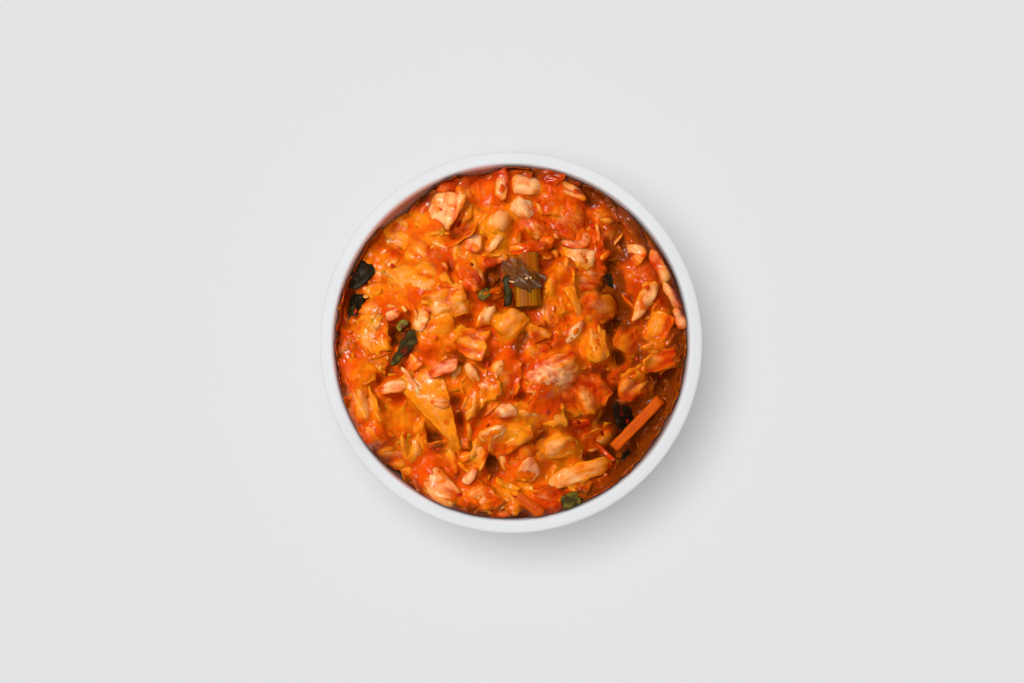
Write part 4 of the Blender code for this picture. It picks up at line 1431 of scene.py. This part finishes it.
# Each batch's wet finish and slot.
BATCHES = {"buried_leaves": ("leaf", "kimchi"), "cabbage_leaves": ("leaf", "kimchi"),
           "cabbage_ribs": ("rib", "kimchi"), "cabbage_shreds": ("rib", "kimchi"),
           "green_leaves": ("green", "spring_onion"), "carrot_bits": ("carrot", "carrot"),
           "ginger_crumbs_and_glints": ("crumb", "kimchi"), "chilli_flakes": ("flake", "kimchi"),
           "chilli_seeds": ("seed", "kimchi"), "onion_film": ("film", "spring_onion")}


def wet_food(name, build, scatter, depth, gloss):
    """A wet, slightly translucent food surface. The depth is in millimetres."""
    return surface(name, build, **{"Specular IOR Level": gloss, "Subsurface Weight": scatter,
                                   "Subsurface Radius": (1.0, 0.35, 0.12), "Subsurface Scale": depth * MM})


# ---------------------------------------------------------------- floor, light and camera

FLOOR_RADIUS = 3.0
FLOOR_AROUND = 64


def make_floor():
    """A wide flat disc under the bowl."""
    turn = np.linspace(0, 2 * np.pi, FLOOR_AROUND, endpoint=False)
    edge = np.stack([FLOOR_RADIUS * np.cos(turn), FLOOR_RADIUS * np.sin(turn), np.zeros(FLOOR_AROUND)], -1)
    quads = fan(np.arange(FLOOR_AROUND), FLOOR_AROUND)
    floor = mesh_object("floor", np.concatenate([edge, [[0, 0, 0]]]), quads,
                        surface("pale_floor", floor_build, **{"Specular IOR Level": 0.0}))
    floor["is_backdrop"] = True


@dataclass
class Lamp:
    """A far lamp: its strength, and its apparent size, elevation and heading in degrees."""
    strength: float
    size: float
    elevation: float
    heading: float
    food_only: bool = False
    glossy: bool = True


# A wide soft key, a small lamp for the glaze, and two for the food alone: for relief and for wet shine.
LAMPS = {"key": Lamp(1.82, 30.0, 81.0, 158.0, glossy=False),
         "glint": Lamp(0.15, 18.0, 72.0, 145.0),
         "side": Lamp(2.2, 34.0, 48.0, 150.0, food_only=True, glossy=False),
         "sheen": Lamp(1.2, 16.0, 54.0, 150.0, food_only=True)}
FILL_STRENGTH = 0.34
FILL_IN_GLOSS = 0.04


def add_lamp(name, lamp, food):
    """Adds one of the lamps. One for the food alone lights only that collection."""
    sun = bpy.data.lights.new(name, "SUN")
    sun.energy = lamp.strength
    sun.angle = math.radians(lamp.size)
    holder = bpy.data.objects.new(name, sun)
    heading, elevation = math.radians(lamp.heading), math.radians(lamp.elevation)
    towards = Vector((math.cos(heading) * math.cos(elevation), math.sin(heading) * math.cos(elevation),
                      math.sin(elevation)))
    holder.rotation_euler = towards.to_track_quat("Z", "Y").to_euler()
    holder.visible_glossy = lamp.glossy
    if lamp.food_only:
        holder.light_linking.receiver_collection = food
    bpy.context.scene.collection.objects.link(holder)


def light_scene(food):
    """The lamps, and an even fill that is fainter in reflections."""
    for name, lamp in LAMPS.items():
        add_lamp(name, lamp, food)
    world = bpy.data.worlds.new("studio")
    bpy.context.scene.world = world
    world.use_nodes = True
    finish = Finish(world.node_tree)
    glossy = finish.node("ShaderNodeLightPath", {}, {}, "Is Glossy Ray")
    strength = FILL_STRENGTH * (1 - glossy * (1 - FILL_IN_GLOSS))
    white = (1.0, 1.0, 1.0, 1.0)
    background = finish.node("ShaderNodeBackground", {}, {"Color": white, "Strength": strength})
    finish.node("ShaderNodeOutputWorld", {}, {"Surface": background})


LENS = 85.0
SENSOR = 36.0
RIM_SHARE_OF_WIDTH = 0.37305
CAMERA_TILT = math.radians(3.0)
CAMERA_ASIDE = 0.3 * MM


def make_camera():
    """Looks almost straight down, from so far that the rim takes its share of the frame's width."""
    data = bpy.data.cameras.new("camera")
    data.lens = LENS
    data.sensor_width = SENSOR
    distance = 2 * RIM_RADIUS / RIM_SHARE_OF_WIDTH * LENS / SENSOR
    camera = bpy.data.objects.new("camera", data)
    target = Vector((CAMERA_ASIDE, 0, BOWL_HEIGHT))
    back = Vector((0, -math.sin(CAMERA_TILT), math.cos(CAMERA_TILT)))
    camera.location = target + back * distance
    camera.rotation_euler = back.to_track_quat("Z", "Y").to_euler()
    bpy.context.scene.collection.objects.link(camera)
    bpy.context.scene.camera = camera


# ---------------------------------------------------------------- putting it together

def settle(piece, slot, *nodes):
    """Rides on the part's one body, and stands for these CAD nodes."""
    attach(piece, "root")
    if nodes:
        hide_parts(*nodes)


def gathered_food():
    """Every piece but the bowl, for the lamps that light only the food."""
    food = bpy.data.collections.new("food")
    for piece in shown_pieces():
        if not piece.name.startswith("glazed_bowl"):
            food.objects.link(piece)
    return food


def main():
    bpy.context.scene.view_settings.view_transform = "Standard"
    glaze = surface("white_glaze", glaze_build, **{"Specular IOR Level": 0.35})
    biscuit = surface("bare_clay", biscuit_build)
    settle(make_bowl(glaze, biscuit), "white_glaze", "bowl")

    wet = {name: wet_food(*settings) for name, settings in WET_FINISHES.items()}
    heap = HeapMap(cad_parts["kimchi"], np.random.default_rng(SEED))
    batches = heap_pieces(heap)
    rng = np.random.default_rng(SEED + 1)
    settle(make_core(heap, rng, wet["pulp"]), "kimchi", "kimchi")
    scatter_on_top(heap, batches, rng)
    settle(make_spring_onion(heap, rng, wet["stalk"]), "spring_onion", "spring_onion")
    lay_listed(heap, batches, rng, ON_THE_ONION)
    for name, (finish, slot) in BATCHES.items():
        settle(batches[name].build(wet[finish]), slot, "kimchi")
    settle(make_carrot_stick(wet["carrot"], rng), "carrot", "carrot_stick")

    make_floor()
    light_scene(gathered_food())
    make_camera()


main()
